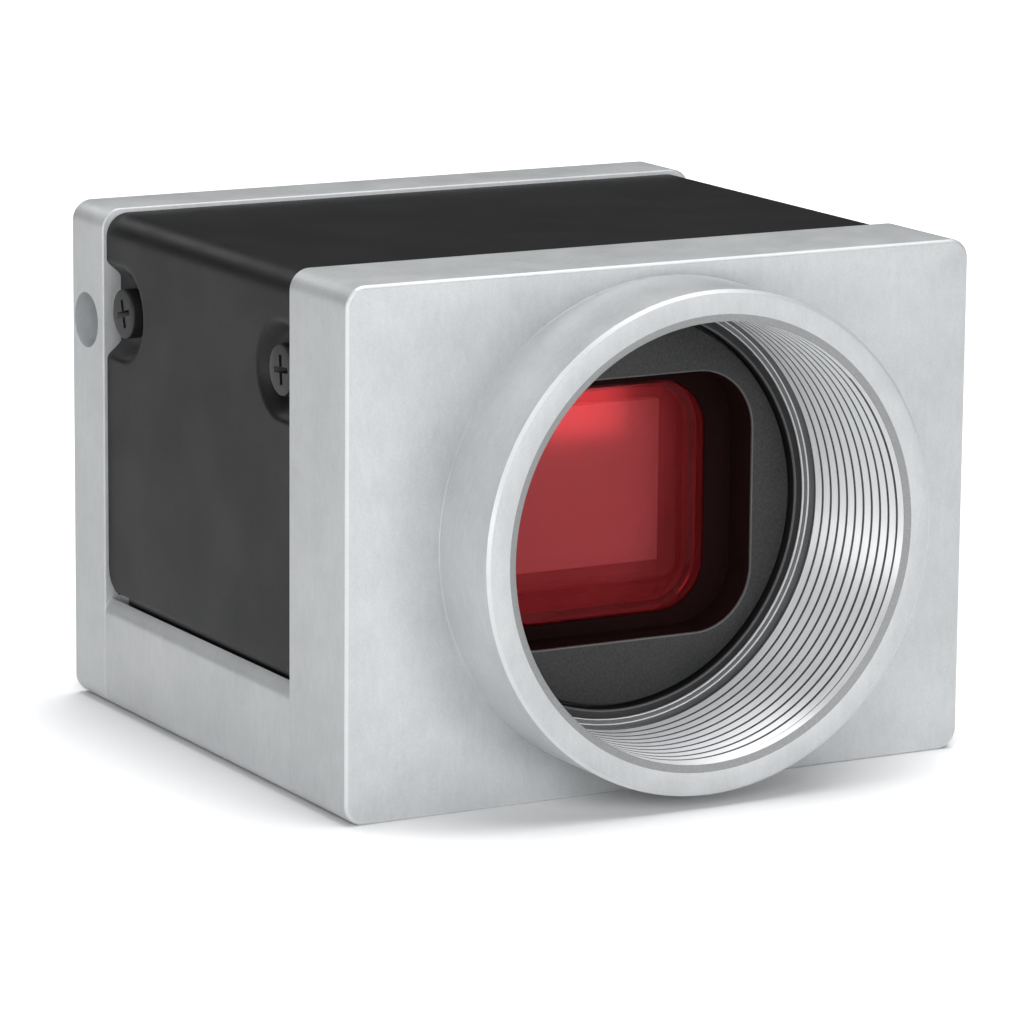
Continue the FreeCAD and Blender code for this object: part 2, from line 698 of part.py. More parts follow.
def board_capacitors():
    """A row of small capacitors on the rear of the sensor board."""
    rear = BOARD_SEAT_Y + BOARD_T
    start = -CAPACITOR_PITCH * (CAPACITOR_COUNT - 1) / 2
    row_z = AXIS_Z + MEMORY_Z
    row = []
    for i in range(CAPACITOR_COUNT):
        low_x = start + i * CAPACITOR_PITCH - CAPACITOR_WIDTH / 2
        row.append(
            block(low_x, low_x + CAPACITOR_WIDTH, rear, rear + CAPACITOR_WIDTH, row_z, row_z + CAPACITOR_LENGTH)
        )
    return row


def ear():
    """One ear of the rear plate, on the +X side, that takes a rear cover screw."""
    middle = AXIS_Z + SCREW_Z
    body = block(
        INNER_X - EAR_DEPTH,
        INNER_X,
        PLATE_FRONT_Y - EAR_LENGTH,
        PLATE_FRONT_Y,
        middle - EAR_HALF_HEIGHT,
        middle + EAR_HALF_HEIGHT,
    )
    front = [
        e
        for e in body.Edges
        if abs(e.CenterOfMass.y - (PLATE_FRONT_Y - EAR_LENGTH)) < 1e-6
        and abs(e.tangentAt(e.FirstParameter).x) > 0.99
    ]
    return body.makeFillet(EAR_FILLET, front)


def plate_lip():
    """The low wall on the front of the rear plate that the cover fits round."""
    front = PLATE_FRONT_Y - LIP_LENGTH
    middle_z = (INNER_TOP_Z + FLOOR_Z) / 2
    height = INNER_TOP_Z - FLOOR_Z
    outer = rounded_block(2 * INNER_X, height, COVER_RADIUS - COVER_T, front, PLATE_FRONT_Y, 0.0, middle_z)
    inner_x = INNER_X - RIB_T
    inner = block(-inner_x, inner_x, front, PLATE_FRONT_Y, 0, INNER_TOP_Z - RIB_T)
    below = block(-SIDE_X, SIDE_X, front, PLATE_FRONT_Y, 0, RIB_TOP_Z + COVER_FOOT_GAP)
    return outer.cut([inner, below])


def data_panel_hole():
    """The opening round the data connector."""
    width = DATA_WIDTH + 2 * DATA_PANEL_CLEARANCE
    height = DATA_HEIGHT + 2 * DATA_PANEL_CLEARANCE
    radius = DATA_CORNER_R + DATA_PANEL_CLEARANCE
    return rounded_block(width, height, radius, PLATE_FRONT_Y, REAR_Y, 0.0, DATA_Z)


def plate_screw_hole(x):
    """A countersunk clearance hole for a rear plate screw."""
    z = PLATE_SCREW_Z
    sink = PLATE_SCREW_HEAD_R - PLATE_SCREW_HOLE_R
    hole = rod_y(PLATE_SCREW_HOLE_R, PLATE_FRONT_Y, REAR_Y, x, z)
    cone = Part.makeCone(PLATE_SCREW_HOLE_R, PLATE_SCREW_HEAD_R, sink, Vector(x, REAR_Y - sink, z), Vector(0, 1, 0))
    return hole.fuse(cone)


def rear_plate():
    """The rear plate with its lip, ears, board pillars and connector openings."""
    plate = rounded_block(BODY_WIDTH, BODY_HEIGHT, PROFILE_RADIUS, PLATE_FRONT_Y, REAR_Y)
    plate = plate.makeChamfer(SEAM_BREAK, edges_at_y(plate, PLATE_FRONT_Y))
    plate = plate.makeChamfer(EDGE_BREAK, edges_at_y(plate, REAR_Y))
    pillars = [rod_y(PILLAR_R, INTERFACE_REAR_Y, PLATE_FRONT_Y, x, z) for x, z in pillar_points()]
    body = join([plate, plate_lip()] + both_sides(ear()) + pillars)
    cuts = both_sides(dimple_seat(REAR_SCREW_Y, PLATE_FRONT_Y))
    cuts.append(data_panel_hole())
    cuts.append(rod_y(IO_OUTER_R + IO_PANEL_CLEARANCE, PLATE_FRONT_Y, REAR_Y, 0.0, IO_Z))
    cuts.append(rod_y(LIGHT_R, PLATE_FRONT_Y, REAR_Y, LIGHT_X, AXIS_Z + LIGHT_Z))
    cuts += [plate_screw_hole(x) for x in (-PLATE_SCREW_X, PLATE_SCREW_X)]
    for x in (-DATA_LOCK_SPACING / 2, DATA_LOCK_SPACING / 2):
        cuts.append(rod_y(DATA_LOCK_R, REAR_Y - DATA_LOCK_DEPTH, REAR_Y, x, DATA_Z))
    bore_y = REAR_Y - SIDE_BORE_SETBACK
    cuts += both_sides(rod_x(SIDE_BORE_R, SIDE_X - SIDE_BORE_DEPTH, SIDE_X, bore_y, AXIS_Z + SIDE_BORE_Z))
    grip = BOARD_SCREW_LENGTH - BOARD_T + SMALL_SCREW_R
    for x, z in pillar_points():
        cuts.append(rod_y(SMALL_SCREW_R, INTERFACE_REAR_Y, INTERFACE_REAR_Y + grip, x, z))
    return body.cut(cuts).removeSplitter()


def rear_plate_screws():
    """The countersunk screws that fix the rear plate to the bottom bar."""
    sink = PLATE_SCREW_HEAD_R - PLATE_SCREW_HOLE_R
    shank_r = PLATE_SCREW_R - THREAD_FIT
    screws = []
    for x in (-PLATE_SCREW_X, PLATE_SCREW_X):
        shank = Part.makeCylinder(shank_r, PLATE_SCREW_LENGTH, Vector(0, 0, -PLATE_SCREW_LENGTH))
        head_r = PLATE_SCREW_HEAD_R - SLIP_FIT
        head = Part.makeCone(head_r - sink, head_r, sink, Vector(0, 0, -sink))
        screw = join([shank, head]).cut(cross_recess(0.0))
        screws.append(aimed(screw, Vector(0, 1, 0), Vector(x, REAR_Y, PLATE_SCREW_Z)))
    return screws


def seat_section(y):
    """The sheet's section through a pressed seat, from its middle up to its rim, on the +X side."""
    turn = 2 * math.atan(DIMPLE_DEPTH / DIMPLE_FLANK)
    rim_r = COVER_T + DIMPLE_BEND_R
    floor_r = DIMPLE_FLANK / math.sin(turn) - rim_r
    z = AXIS_Z + SCREW_Z

    def point(x, radius):
        return Vector(x, y, z + radius)

    def on_floor_bend(radius, angle):
        return point(HEAD_SEAT_X + floor_r - radius * math.cos(angle), DIMPLE_FLOOR_R + radius * math.sin(angle))

    def on_rim_bend(radius, angle):
        return point(COVER_X - rim_r + radius * math.cos(angle), DIMPLE_RIM_R - radius * math.sin(angle))

    def skin(floor_bend, rim_bend):
        low = Part.Arc(*[on_floor_bend(floor_bend, t) for t in (0.0, turn / 2, turn)])
        high = Part.Arc(*[on_rim_bend(rim_bend, t) for t in (turn, turn / 2, 0.0)])
        return low.toShape(), high.toShape()

    outer = skin(floor_r, rim_r)
    inner = skin(floor_r + COVER_T, rim_r - COVER_T)
    middle = [point(HEAD_SEAT_X - COVER_T, 0.0), point(HEAD_SEAT_X, 0.0)]
    edges = [
        Part.LineSegment(middle[0], middle[1]).toShape(),
        Part.LineSegment(middle[1], on_floor_bend(floor_r, 0.0)).toShape(),
        outer[0],
        outer[1],
        Part.LineSegment(on_rim_bend(rim_r, 0.0), on_rim_bend(rim_r - COVER_T, 0.0)).toShape(),
        inner[1],
        inner[0],
        Part.LineSegment(on_floor_bend(floor_r + COVER_T, 0.0), middle[0]).toShape(),
    ]
    return Part.Face(Part.Wire(Part.__sortEdges__(edges)))


def dimple(y, edge_y):
    """A pressed seat in the sheet, round at one end and open at the cover's edge, on the +X side."""
    z = AXIS_Z + SCREW_Z
    section = seat_section(y)
    away = 180 if edge_y > y else -180
    bowl = section.revolve(Vector(0, y, z), Vector(1, 0, 0), away)
    upper = section.extrude(Vector(0, edge_y - y, 0))
    lower = upper.mirror(Vector(0, 0, z), Vector(0, 0, 1))
    return join([bowl, upper, lower]).cut(rod_x(SMALL_SCREW_HOLE_R, 0, COVER_X, y, z))


def cover():
    """The folded sheet cover: a top and two sides, with four pressed screw seats."""
    front = BLOCK_REAR_Y + COVER_FIT
    rear = PLATE_FRONT_Y - COVER_FIT
    foot = SHELF_Z + COVER_FOOT_GAP
    spare = COVER_RADIUS
    height = COVER_TOP_Z - foot + spare
    middle = (COVER_TOP_Z + foot - spare) / 2
    outer = rounded_block(2 * COVER_X, height, COVER_RADIUS, front, rear, 0.0, middle)
    bend_r = COVER_RADIUS - COVER_T
    width = 2 * (COVER_X - COVER_T)
    inner = rounded_block(width, height, bend_r, front, rear, 0.0, middle - COVER_T)
    sheet = outer.cut([inner, block(-SIDE_X, SIDE_X, front, rear, 0, foot)])
    corner_edges = [
        e
        for e in sheet.Edges
        if abs(e.CenterOfMass.z - foot) < 1e-6
        and abs(e.CenterOfMass.y - rear) < 1e-6
        and abs(e.tangentAt(e.FirstParameter).x) > 0.99
    ]
    sheet = sheet.makeFillet(COVER_CORNER_RADIUS, corner_edges)
    holes = []
    seats = []
    for y, edge_y in ((FRONT_SCREW_Y, front), (REAR_SCREW_Y, rear)):
        holes += both_sides(seat_outline(DIMPLE_RIM_R, 0, SIDE_X, y, edge_y))
        seats += both_sides(dimple(y, edge_y))
    tongue = block(
        COVER_X - COVER_T,
        COVER_X - COVER_T + TONGUE_T,
        front,
        rear - COVER_CORNER_RADIUS,
        SHELF_Z - GROOVE_DEPTH + TONGUE_BOTTOM_GAP,
        foot,
    )
    return join([sheet.cut(holes)] + seats + both_sides(tongue))


def cover_screws():
    """The four cross-head screws in the cover's pressed seats."""
    screws = []
    for y in (FRONT_SCREW_Y, REAR_SCREW_Y):
        for side in (-1, 1):
            place = Vector(side * HEAD_SEAT_X, y, AXIS_Z + SCREW_Z)
            screws.append(aimed(pan_screw(COVER_SCREW_LENGTH), Vector(side, 0, 0), place))
    return screws


def data_outline(inset, y0, y1):
    """The stepped outline of the data connector, smaller by an inset."""
    z = DATA_Z
    half_w = DATA_WIDTH / 2 - inset
    half_h = DATA_HEIGHT / 2 - inset
    step_x = DATA_STEP_X - inset
    step_z = z + half_h - DATA_STEP_HEIGHT
    body = prism(
        [
            (-half_w, z - half_h),
            (half_w, z - half_h),
            (half_w, step_z),
            (step_x, step_z),
            (step_x, z + half_h),
            (-half_w, z + half_h),
        ],
        y0,
        y1,
    )
    outer_edges = [e for e in body.Edges if abs(abs(e.CenterOfMass.x) - half_w) < 1e-6]
    long_edges = [e for e in outer_edges if abs(e.tangentAt(e.FirstParameter).y) > 0.99]
    return body.makeFillet(DATA_CORNER_R - inset, long_edges)


def data_connector_shell():
    """The drawn metal shell of the data connector."""
    outer = data_outline(0.0, INTERFACE_REAR_Y, REAR_Y)
    return outer.cut(data_outline(DATA_SHELL_T, INTERFACE_REAR_Y, REAR_Y))


def data_tongue_span():
    """The low and high Z of the data connector's tongue."""
    low = DATA_Z - DATA_TONGUE_T
    return low, low + DATA_TONGUE_T


def data_connector_insert():
    """The plastic base and tongue of the data connector."""
    base = data_outline(DATA_SHELL_T + SLIP_FIT, INTERFACE_REAR_Y, INTERFACE_REAR_Y + DATA_BASE_T)
    half = DATA_WIDTH / 2 - DATA_TONGUE_INSET
    low, high = data_tongue_span()
    tongue = block(-half, half, INTERFACE_REAR_Y, REAR_Y - DATA_TONGUE_INSET, low, high)
    return join([base, tongue])


def data_connector_contacts():
    """Two rows of flat contacts on the tongue, one for each part of the plug."""
    low = data_tongue_span()[0]
    front = INTERFACE_REAR_Y + DATA_BASE_T
    rear = REAR_Y - 2 * DATA_TONGUE_INSET
    contacts = []
    for centre in (-DATA_STEP_X, 2 * DATA_STEP_X):
        for i in range(DATA_CONTACT_COUNT):
            x = centre + (i - (DATA_CONTACT_COUNT - 1) / 2) * DATA_CONTACT_PITCH
            half = DATA_CONTACT_WIDTH / 2
            contacts.append(block(x - half, x + half, front, rear, low - DATA_CONTACT_T, low))
    return contacts


def io_connector_shell():
    """The turned shell of the round connector, with its inner flange and key."""
    mouth_y = REAR_Y + IO_PROUD
    flange_y = PLATE_FRONT_Y - IO_FLANGE_T
    z = IO_Z
    shell = turned(
        [
            (IO_BORE_R, INTERFACE_REAR_Y),
            (IO_OUTER_R, INTERFACE_REAR_Y),
            (IO_OUTER_R, flange_y),
            (IO_FLANGE_R, flange_y),
            (IO_FLANGE_R, PLATE_FRONT_Y),
            (IO_OUTER_R, PLATE_FRONT_Y),
            (IO_OUTER_R, mouth_y - IO_EDGE_BREAK),
            (IO_OUTER_R - IO_EDGE_BREAK, mouth_y),
            (IO_BORE_R, mouth_y),
        ],
        z,
    )
    half = IO_KEY_WIDTH / 2
    key_low = z + IO_BORE_R - IO_KEY_HEIGHT
    middle_r = (IO_BORE_R + IO_OUTER_R) / 2
    key = block(-half, half, mouth_y - IO_INSERT_FACE, mouth_y - IO_EDGE_BREAK, key_low, z + middle_r)
    return join([shell, key])


def io_pin_points():
    """The pins' places on their circle, as (x, z)."""
    points = []
    for i in range(IO_PIN_COUNT):
        angle = 2 * math.pi * (i + 0.5) / IO_PIN_COUNT
        points.append((IO_PIN_CIRCLE_R * math.cos(angle), IO_Z + IO_PIN_CIRCLE_R * math.sin(angle)))
    return points


def io_connector_insert():
    """The plastic disc that carries the pins."""
    face_y = REAR_Y + IO_PROUD - IO_INSERT_FACE
    disc = rod_y(IO_BORE_R - SLIP_FIT, INTERFACE_REAR_Y, face_y, 0.0, IO_Z)
    return disc.cut([rod_y(IO_PIN_R + SLIP_FIT, INTERFACE_REAR_Y, face_y, x, z) for x, z in io_pin_points()])


def io_connector_pins():
    """The round contact pins, each with a rounded tip."""
    tip_y = REAR_Y + IO_PROUD - IO_INSERT_FACE + IO_PIN_LENGTH
    pins = []
    for x, z in io_pin_points():
        pin = rod_y(IO_PIN_R, INTERFACE_REAR_Y, tip_y, x, z)
        pins.append(pin.makeFillet(IO_PIN_R / 2, edges_at_y(pin, tip_y)))
    return pins


def status_light_pipe():
    """The clear rod that shows the status light at the rear face."""
    z = AXIS_Z + LIGHT_Z
    rod = rod_y(LIGHT_R - SLIP_FIT, PLATE_FRONT_Y, REAR_Y, LIGHT_X, z)
    collar = rod_y(LIGHT_FLANGE_R, PLATE_FRONT_Y - LIGHT_FLANGE_T, PLATE_FRONT_Y, LIGHT_X, z)
    stem = rod_y(LIGHT_R, INTERFACE_REAR_Y + LED_T, PLATE_FRONT_Y - LIGHT_FLANGE_T, LIGHT_X, z)
    return join([rod, collar, stem])


def status_led():
    """The light itself, on the rear of the interface board."""
    z = AXIS_Z + LIGHT_Z
    half_w = LED_WIDTH / 2
    half_h = LED_HEIGHT / 2
    rear = INTERFACE_REAR_Y + LED_T
    return block(LIGHT_X - half_w, LIGHT_X + half_w, INTERFACE_REAR_Y, rear, z - half_h, z + half_h)


def nodes():
    """Every piece of the camera by name, as one solid or a list of like solids."""
    sensor_rear = BOARD_SEAT_Y + BOARD_T
    front_pair = connector_pair(sensor_rear, PROCESSOR_Y, SENSOR_CONNECTOR_Z)
    rear_pair = connector_pair(PROCESSOR_Y + BOARD_T, INTERFACE_Y, REAR_CONNECTOR_Z)
    return {
        "front_block": front_block(),
        "retaining_ring": retaining_ring(),
        "filter_holder": filter_holder(),
        "ir_cut_filter": ir_cut_filter(),
        "sensor_seal": sensor_seal(),
        "sensor_cover_glass": sensor_cover_glass(),
        "sensor_package": sensor_package(),
        "sensor_die": sensor_die(),
        "sensor_board": circuit_board(BOARD_SEAT_Y, BOARD_HALF_X, standoff_points()),
        "board_standoffs": [board_standoff(x, z) for x, z in standoff_points()],
        "sensor_board_connector": front_pair[0],
        "processor_front_connector": front_pair[1],
        "processor_board": circuit_board(PROCESSOR_Y, BOARD_HALF_X, standoff_points()),
        "processor_board_screws": processor_board_screws(),
        "processor_chip": processor_chip(),
        "memory_chips": memory_chips(),
        "thermal_pad": thermal_pad(),
        "heat_spreader": heat_spreader(),
        "spreader_screws": spreader_screws(),
        "processor_rear_connector": rear_pair[0],
        "interface_connector": rear_pair[1],
        "interface_board": circuit_board(INTERFACE_Y, INTERFACE_HALF_X, pillar_points()),
        "interface_board_screws": interface_board_screws(),
        "power_inductor": power_inductor(),
        "clock_oscillator": clock_oscillator(),
        "board_capacitors": board_capacitors(),
        "status_led": status_led(),
        "status_light_pipe": status_light_pipe(),
        "data_connector_shell": data_connector_shell(),
        "data_connector_insert": data_connector_insert(),
        "data_connector_contacts": data_connector_contacts(),
        "io_connector_shell": io_connector_shell(),
        "io_connector_insert": io_connector_insert(),
        "io_connector_pins": io_connector_pins(),
        "rear_plate": rear_plate(),
        "rear_plate_screws": rear_plate_screws(),
        "cover": cover(),
        "cover_screws": cover_screws(),
    }


def write_parts():
    """Writes one STEP file for each named piece."""
    os.makedirs("parts", exist_ok=True)
    for name, shape in nodes().items():
        whole = Part.makeCompound(shape) if isinstance(shape, list) else shape
        whole.exportStep(f"parts/{name}.step")
        solids = whole.Solids
        print(name, len(solids), "solids", round(sum(s.Volume for s in solids), 1), "mm3", whole.isValid())


write_parts()
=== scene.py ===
"""Looks of a machine vision camera with a screw lens mount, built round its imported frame."""

import json
import logging
import math
from dataclasses import dataclass
from enum import Enum
from typing import Dict, List, Optional, Sequence, Tuple, Union

import bmesh
import bpy
import numpy as np
from mathutils import Matrix, Vector


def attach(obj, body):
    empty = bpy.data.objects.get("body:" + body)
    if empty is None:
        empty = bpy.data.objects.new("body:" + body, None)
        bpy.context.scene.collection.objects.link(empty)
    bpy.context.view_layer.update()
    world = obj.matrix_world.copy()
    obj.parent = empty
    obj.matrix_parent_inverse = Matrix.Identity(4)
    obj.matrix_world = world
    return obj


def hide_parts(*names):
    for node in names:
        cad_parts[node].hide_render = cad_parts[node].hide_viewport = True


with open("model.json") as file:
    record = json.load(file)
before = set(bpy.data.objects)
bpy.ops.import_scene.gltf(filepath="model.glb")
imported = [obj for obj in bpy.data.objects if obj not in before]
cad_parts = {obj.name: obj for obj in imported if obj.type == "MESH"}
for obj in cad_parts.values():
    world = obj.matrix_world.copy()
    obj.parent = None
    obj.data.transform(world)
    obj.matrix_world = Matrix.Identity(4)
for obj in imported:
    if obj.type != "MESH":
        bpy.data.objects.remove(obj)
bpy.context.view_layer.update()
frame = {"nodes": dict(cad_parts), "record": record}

LOG = logging.getLogger("camera")

Pair = Tuple[float, float]
Triple = Tuple[float, float, float]
Loop = np.ndarray
Piece = bpy.types.Object
Material = bpy.types.Material
Socket = bpy.types.NodeSocket
Link = Union[float, Sequence[float], "Field"]

# Units, in metres
MM = 0.001
MICRON = 0.000001

# Places shared by several sub-assemblies, in millimetres
AXIS_Z = 15.0
FLANGE_Y = -21.65
FACE_Y = -16.15
BLOCK_REAR_Y = -9.25
PLATE_FRONT_Y = 15.25
REAR_Y = 19.65
SEAT_Z = 24.1
FRONT_SEAT_Y = -7.6
REAR_SEAT_Y = 13.05
ROUND_Z = 20.6
DATA_Z = 8.5
PLATE_SCREW_X = 9.0
PLATE_SCREW_Z = 2.2

# The least corner radius of an outline, in millimetres, and a guard against dividing by nought
LEAST_RADIUS = 0.05
TINY = 1e-9

# The share of a face's normal along a direction past which the face counts as facing it
FACING = 0.9

# Angles in degrees past which an edge stays sharp
SHARP_FLAT = 20.0
SHARP_PLATE = 28.0
SHARP = 30.0
SHARP_ROUND = 35.0
SHARP_SHEET = 40.0

UP = Vector((0.0, 0.0, 1.0))
REARWARD = Vector((0.0, 1.0, 0.0))


class Side(Enum):
    """The two sides of the camera, by the sign of X."""

    LEFT = -1.0
    RIGHT = 1.0


class Grain(Enum):
    """The scale of a surface's fine grain, in grains per metre."""

    BLASTED = 9000.0
    POWDER = 5200.0
    MOULDED = 6500.0
    ANODISED = 11000.0


class Head(Enum):
    """The form of a screw's head."""

    RAISED = "raised"
    SUNK = "sunk"


class Field:
    """A socket whose value changes over a surface, with arithmetic that adds Math nodes."""

    def __init__(self, tree: "Tree", socket: Socket) -> None:
        """Keeps the socket and the tree that it belongs to."""
        self.tree = tree
        self.socket = socket

    def _math(self, operation: str, a: Link, b: Link) -> "Field":
        """Adds one Math node and returns its result."""
        return self.tree.add("ShaderNodeMath", {"operation": operation}, {0: a, 1: b})

    def __add__(self, other: Link) -> "Field":
        """Sum."""
        return self._math("ADD", self, other)

    def __radd__(self, other: Link) -> "Field":
        """Sum with a plain number on the left."""
        return self._math("ADD", other, self)

    def __mul__(self, other: Link) -> "Field":
        """Product."""
        return self._math("MULTIPLY", self, other)

    def __rmul__(self, other: Link) -> "Field":
        """Product with a plain number on the left."""
        return self._math("MULTIPLY", other, self)


@dataclass(frozen=True)
class Noise:
    """A noise pattern in grains per metre, with the range of it that a mask is made from."""

    scale: float
    detail: float = 2.0
    rough: float = 0.5
    low: float = 0.3
    high: float = 0.7
    stretch: Optional[Triple] = None


class Tree:
    """The node tree of one material or world, with a single method that adds nodes."""

    def __init__(self, name: str, world: bool = False) -> None:
        """Makes an empty tree with its output.

        Args:
            name: The material's or the world's name.
            world: Whether the tree is a world's.
        """
        self.owner = (bpy.data.worlds if world else bpy.data.materials).new(name)
        self.owner.use_nodes = True
        self.nodes = self.owner.node_tree.nodes
        self.links = self.owner.node_tree.links
        self.nodes.clear()
        self.output = self.nodes.new("ShaderNodeOutputWorld" if world else "ShaderNodeOutputMaterial")

    def add(
        self,
        kind: str,
        settings: Optional[Dict[str, object]] = None,
        values: Optional[Dict[Union[int, str], Link]] = None,
        out: Union[int, str] = 0,
    ) -> Field:
        """Adds a node.

        Args:
            kind: The node's type name.
            settings: Its properties, which are set first.
            values: Its input sockets' values or links, by name or place.
            out: The output to return.

        Returns:
            The chosen output as a field.
        """
        node = self.nodes.new(kind)
        for key, value in (settings or {}).items():
            setattr(node, key, value)
        for key, value in (values or {}).items():
            self.feed(node.inputs[key], value)
        return Field(self, node.outputs[out])

    def feed(self, socket: Socket, value: Link) -> None:
        """Sets a socket to a plain value or links a field to it.

        Args:
            socket: The input socket.
            value: A field, a number, a vector, or a colour of three channels.
        """
        if isinstance(value, Field):
            self.links.new(value.socket, socket)
        elif isinstance(value, tuple) and len(value) == 3 and len(socket.default_value) == 4:
            socket.default_value = (*value, 1.0)
        else:
            socket.default_value = value

    def place(self) -> Field:
        """The surface point in the piece's own coordinates, in metres."""
        return self.add("ShaderNodeTexCoord", out="Object")

    def along(self, axis: str) -> Field:
        """The surface point's coordinate along one axis, in metres."""
        return self.add("ShaderNodeSeparateXYZ", None, {0: self.place()}, axis)

    def noise(self, pattern: Noise) -> Field:
        """Smooth noise about one half.

        Args:
            pattern: Its scale, detail, roughness and stretch.

        Returns:
            The noise's value.
        """
        point = self.place()
        if pattern.stretch is not None:
            point = self.add("ShaderNodeMapping", None, {"Vector": point, "Scale": pattern.stretch})
        values = {"Scale": pattern.scale, "Detail": pattern.detail, "Roughness": pattern.rough}
        return self.add("ShaderNodeTexNoise", None, {"Vector": point, **values})

    def mask(self, pattern: Noise, noise: Optional[Field] = None) -> Field:
        """A pattern's noise, made here unless it is given, spread from zero to one."""
        return self.between(noise or self.noise(pattern), pattern.low, pattern.high)

    def mix(self, mask: Link, low: Link, high: Link) -> Field:
        """A colour between two others by a mask."""
        return self.add("ShaderNodeMix", {"data_type": "RGBA"}, {0: mask, 6: low, 7: high}, 2)

    def between(self, value: Link, low: float, high: float, new_low: float = 0.0) -> Field:
        """Carries a value from one range to another and holds it within that.

        Args:
            value: The value.
            low: Where the old range starts.
            high: Where the old range ends.
            new_low: Where the new range starts; it ends at one.

        Returns:
            The held value.
        """
        values = {"Value": value, "From Min": low, "From Max": high, "To Min": new_low, "To Max": 1.0}
        return self.add("ShaderNodeMapRange", {"clamp": True}, values)

    def bump(self, height: Link, depth: float, strength: float = 1.0) -> Field:
        """A bumped normal from a height field and its depth in metres."""
        return self.add("ShaderNodeBump", None, {"Height": height, "Distance": depth, "Strength": strength})

    def blend(self, share: Link, first: Field, second: Field) -> Field:
        """A shader between two others."""
        return self.add("ShaderNodeMixShader", None, {0: share, 1: first, 2: second})

    def shade(self, **values: Link) -> Field:
        """The main surface shader, with sockets named by words joined with underscores."""
        named = {key.replace("_", " "): value for key, value in values.items()}
        return self.add("ShaderNodeBsdfPrincipled", None, named)

    def finish(self, surface: Field) -> bpy.types.ID:
        """Links the surface to the output and returns the material or world."""
        self.links.new(surface.socket, self.output.inputs["Surface"])
        return self.owner


def scaled(colour: Triple, factor: float) -> Triple:
    """A colour made darker or brighter."""
    return tuple(factor * channel for channel in colour)


def grey(level: float, blue: Optional[float] = None) -> Triple:
    """A neutral colour, whose blue channel may stand a little apart."""
    return (level, level, level if blue is None else blue)


@dataclass(frozen=True)
class SatinAluminium:
    """Bead-blasted, clear anodised aluminium with faint clouds, smears and streaks."""

    name: str = "satin_aluminium"
    colour: Triple = (0.535, 0.55, 0.56)
    cloud: Triple = (0.715, 0.73, 0.74)
    metallic: float = 0.40
    roughness: float = 0.44
    grain: Noise = Noise(Grain.BLASTED.value, 1.0, 0.6)
    clouds: Noise = Noise(330.0, 3.0, 0.6, 0.33, 0.67)
    smears: Noise = Noise(90.0, 2.0, 0.5, 0.35, 0.65)
    streaks: Noise = Noise(2600.0, 2.0, 0.6, stretch=(1.0, 1.0, 0.3))
    grain_share: float = 0.25
    cloud_share: float = 0.3
    smear_share: float = 0.25
    streak_share: float = 0.2
    cloud_roughness: float = 0.05
    grain_depth: float = 4.0 * MICRON

    def make(self) -> Material:
        """Builds the material.

        Returns:
            The finished material.
        """
        tree = Tree(self.name)
        grain = tree.noise(self.grain)
        clouds = tree.mask(self.clouds)
        cover = (
            clouds * self.cloud_share
            + tree.mask(self.smears) * self.smear_share
            + tree.mask(self.grain, grain) * self.grain_share
            + tree.mask(self.streaks) * self.streak_share
        )
        surface = tree.shade(
            Base_Color=tree.mix(cover, self.colour, self.cloud),
            Metallic=self.metallic,
            Roughness=clouds * self.cloud_roughness + self.roughness,
            Normal=tree.bump(grain, self.grain_depth),
        )
        return tree.finish(surface)


@dataclass(frozen=True)
class TurnedAluminium:
    """Cut aluminium with fine rings about the optical axis, which show their front flanks."""

    name: str = "turned_aluminium"
    colour: Triple = (0.93, 0.94, 0.95)
    shade_colour: Triple = (0.84, 0.85, 0.86)
    metallic: float = 0.50
    roughness: float = 0.33
    lines: Noise = Noise(24000.0, 1.0, 0.6, stretch=(0.01, 1.0, 0.01))
    line_roughness: float = 0.1
    line_depth: float = 6.0 * MICRON
    lean: float = 0.75

    def make(self) -> Material:
        """Builds the material, with its normal leaning towards the mouth of the bore.

        Returns:
            The finished material.
        """
        tree = Tree(self.name)
        lines = tree.noise(self.lines)
        mask = tree.mask(self.lines, lines)
        surface = tree.shade(
            Base_Color=tree.mix(mask, self.shade_colour, self.colour),
            Metallic=self.metallic,
            Roughness=mask * self.line_roughness + self.roughness,
            Normal=tree.bump(lines * self.line_depth + tree.along("Y") * self.lean, 1.0),
        )
        return tree.finish(surface)


@dataclass(frozen=True)
class GrainedFinish:
    """A matt finish with an even fine grain: powder paint, black anodising or a moulded skin."""

    name: str
    colour: Triple
    worn: Triple
    roughness: float
    grain: Grain
    microns: float
    metallic: float = 0.0
    specular: float = 0.5
    clouds: Noise = Noise(220.0, 2.0, 0.5, 0.35, 0.65)
    speck_share: float = 0.8
    cloud_roughness: float = 0.06

    def make(self) -> Material:
        """Builds the material.

        Returns:
            The finished material.
        """
        tree = Tree(self.name)
        specks = Noise(self.grain.value, 2.0, 0.55, 0.35, 0.7)
        grain = tree.noise(specks)
        clouds = tree.mask(self.clouds)
        wear = tree.mask(specks, grain) * self.speck_share + clouds * (1.0 - self.speck_share)
        surface = tree.shade(
            Base_Color=tree.mix(wear, self.colour, self.worn),
            Metallic=self.metallic,
            Roughness=clouds * self.cloud_roughness + self.roughness,
            Specular_IOR_Level=self.specular,
            Normal=tree.bump(grain, self.microns * MICRON),
        )
        return tree.finish(surface)


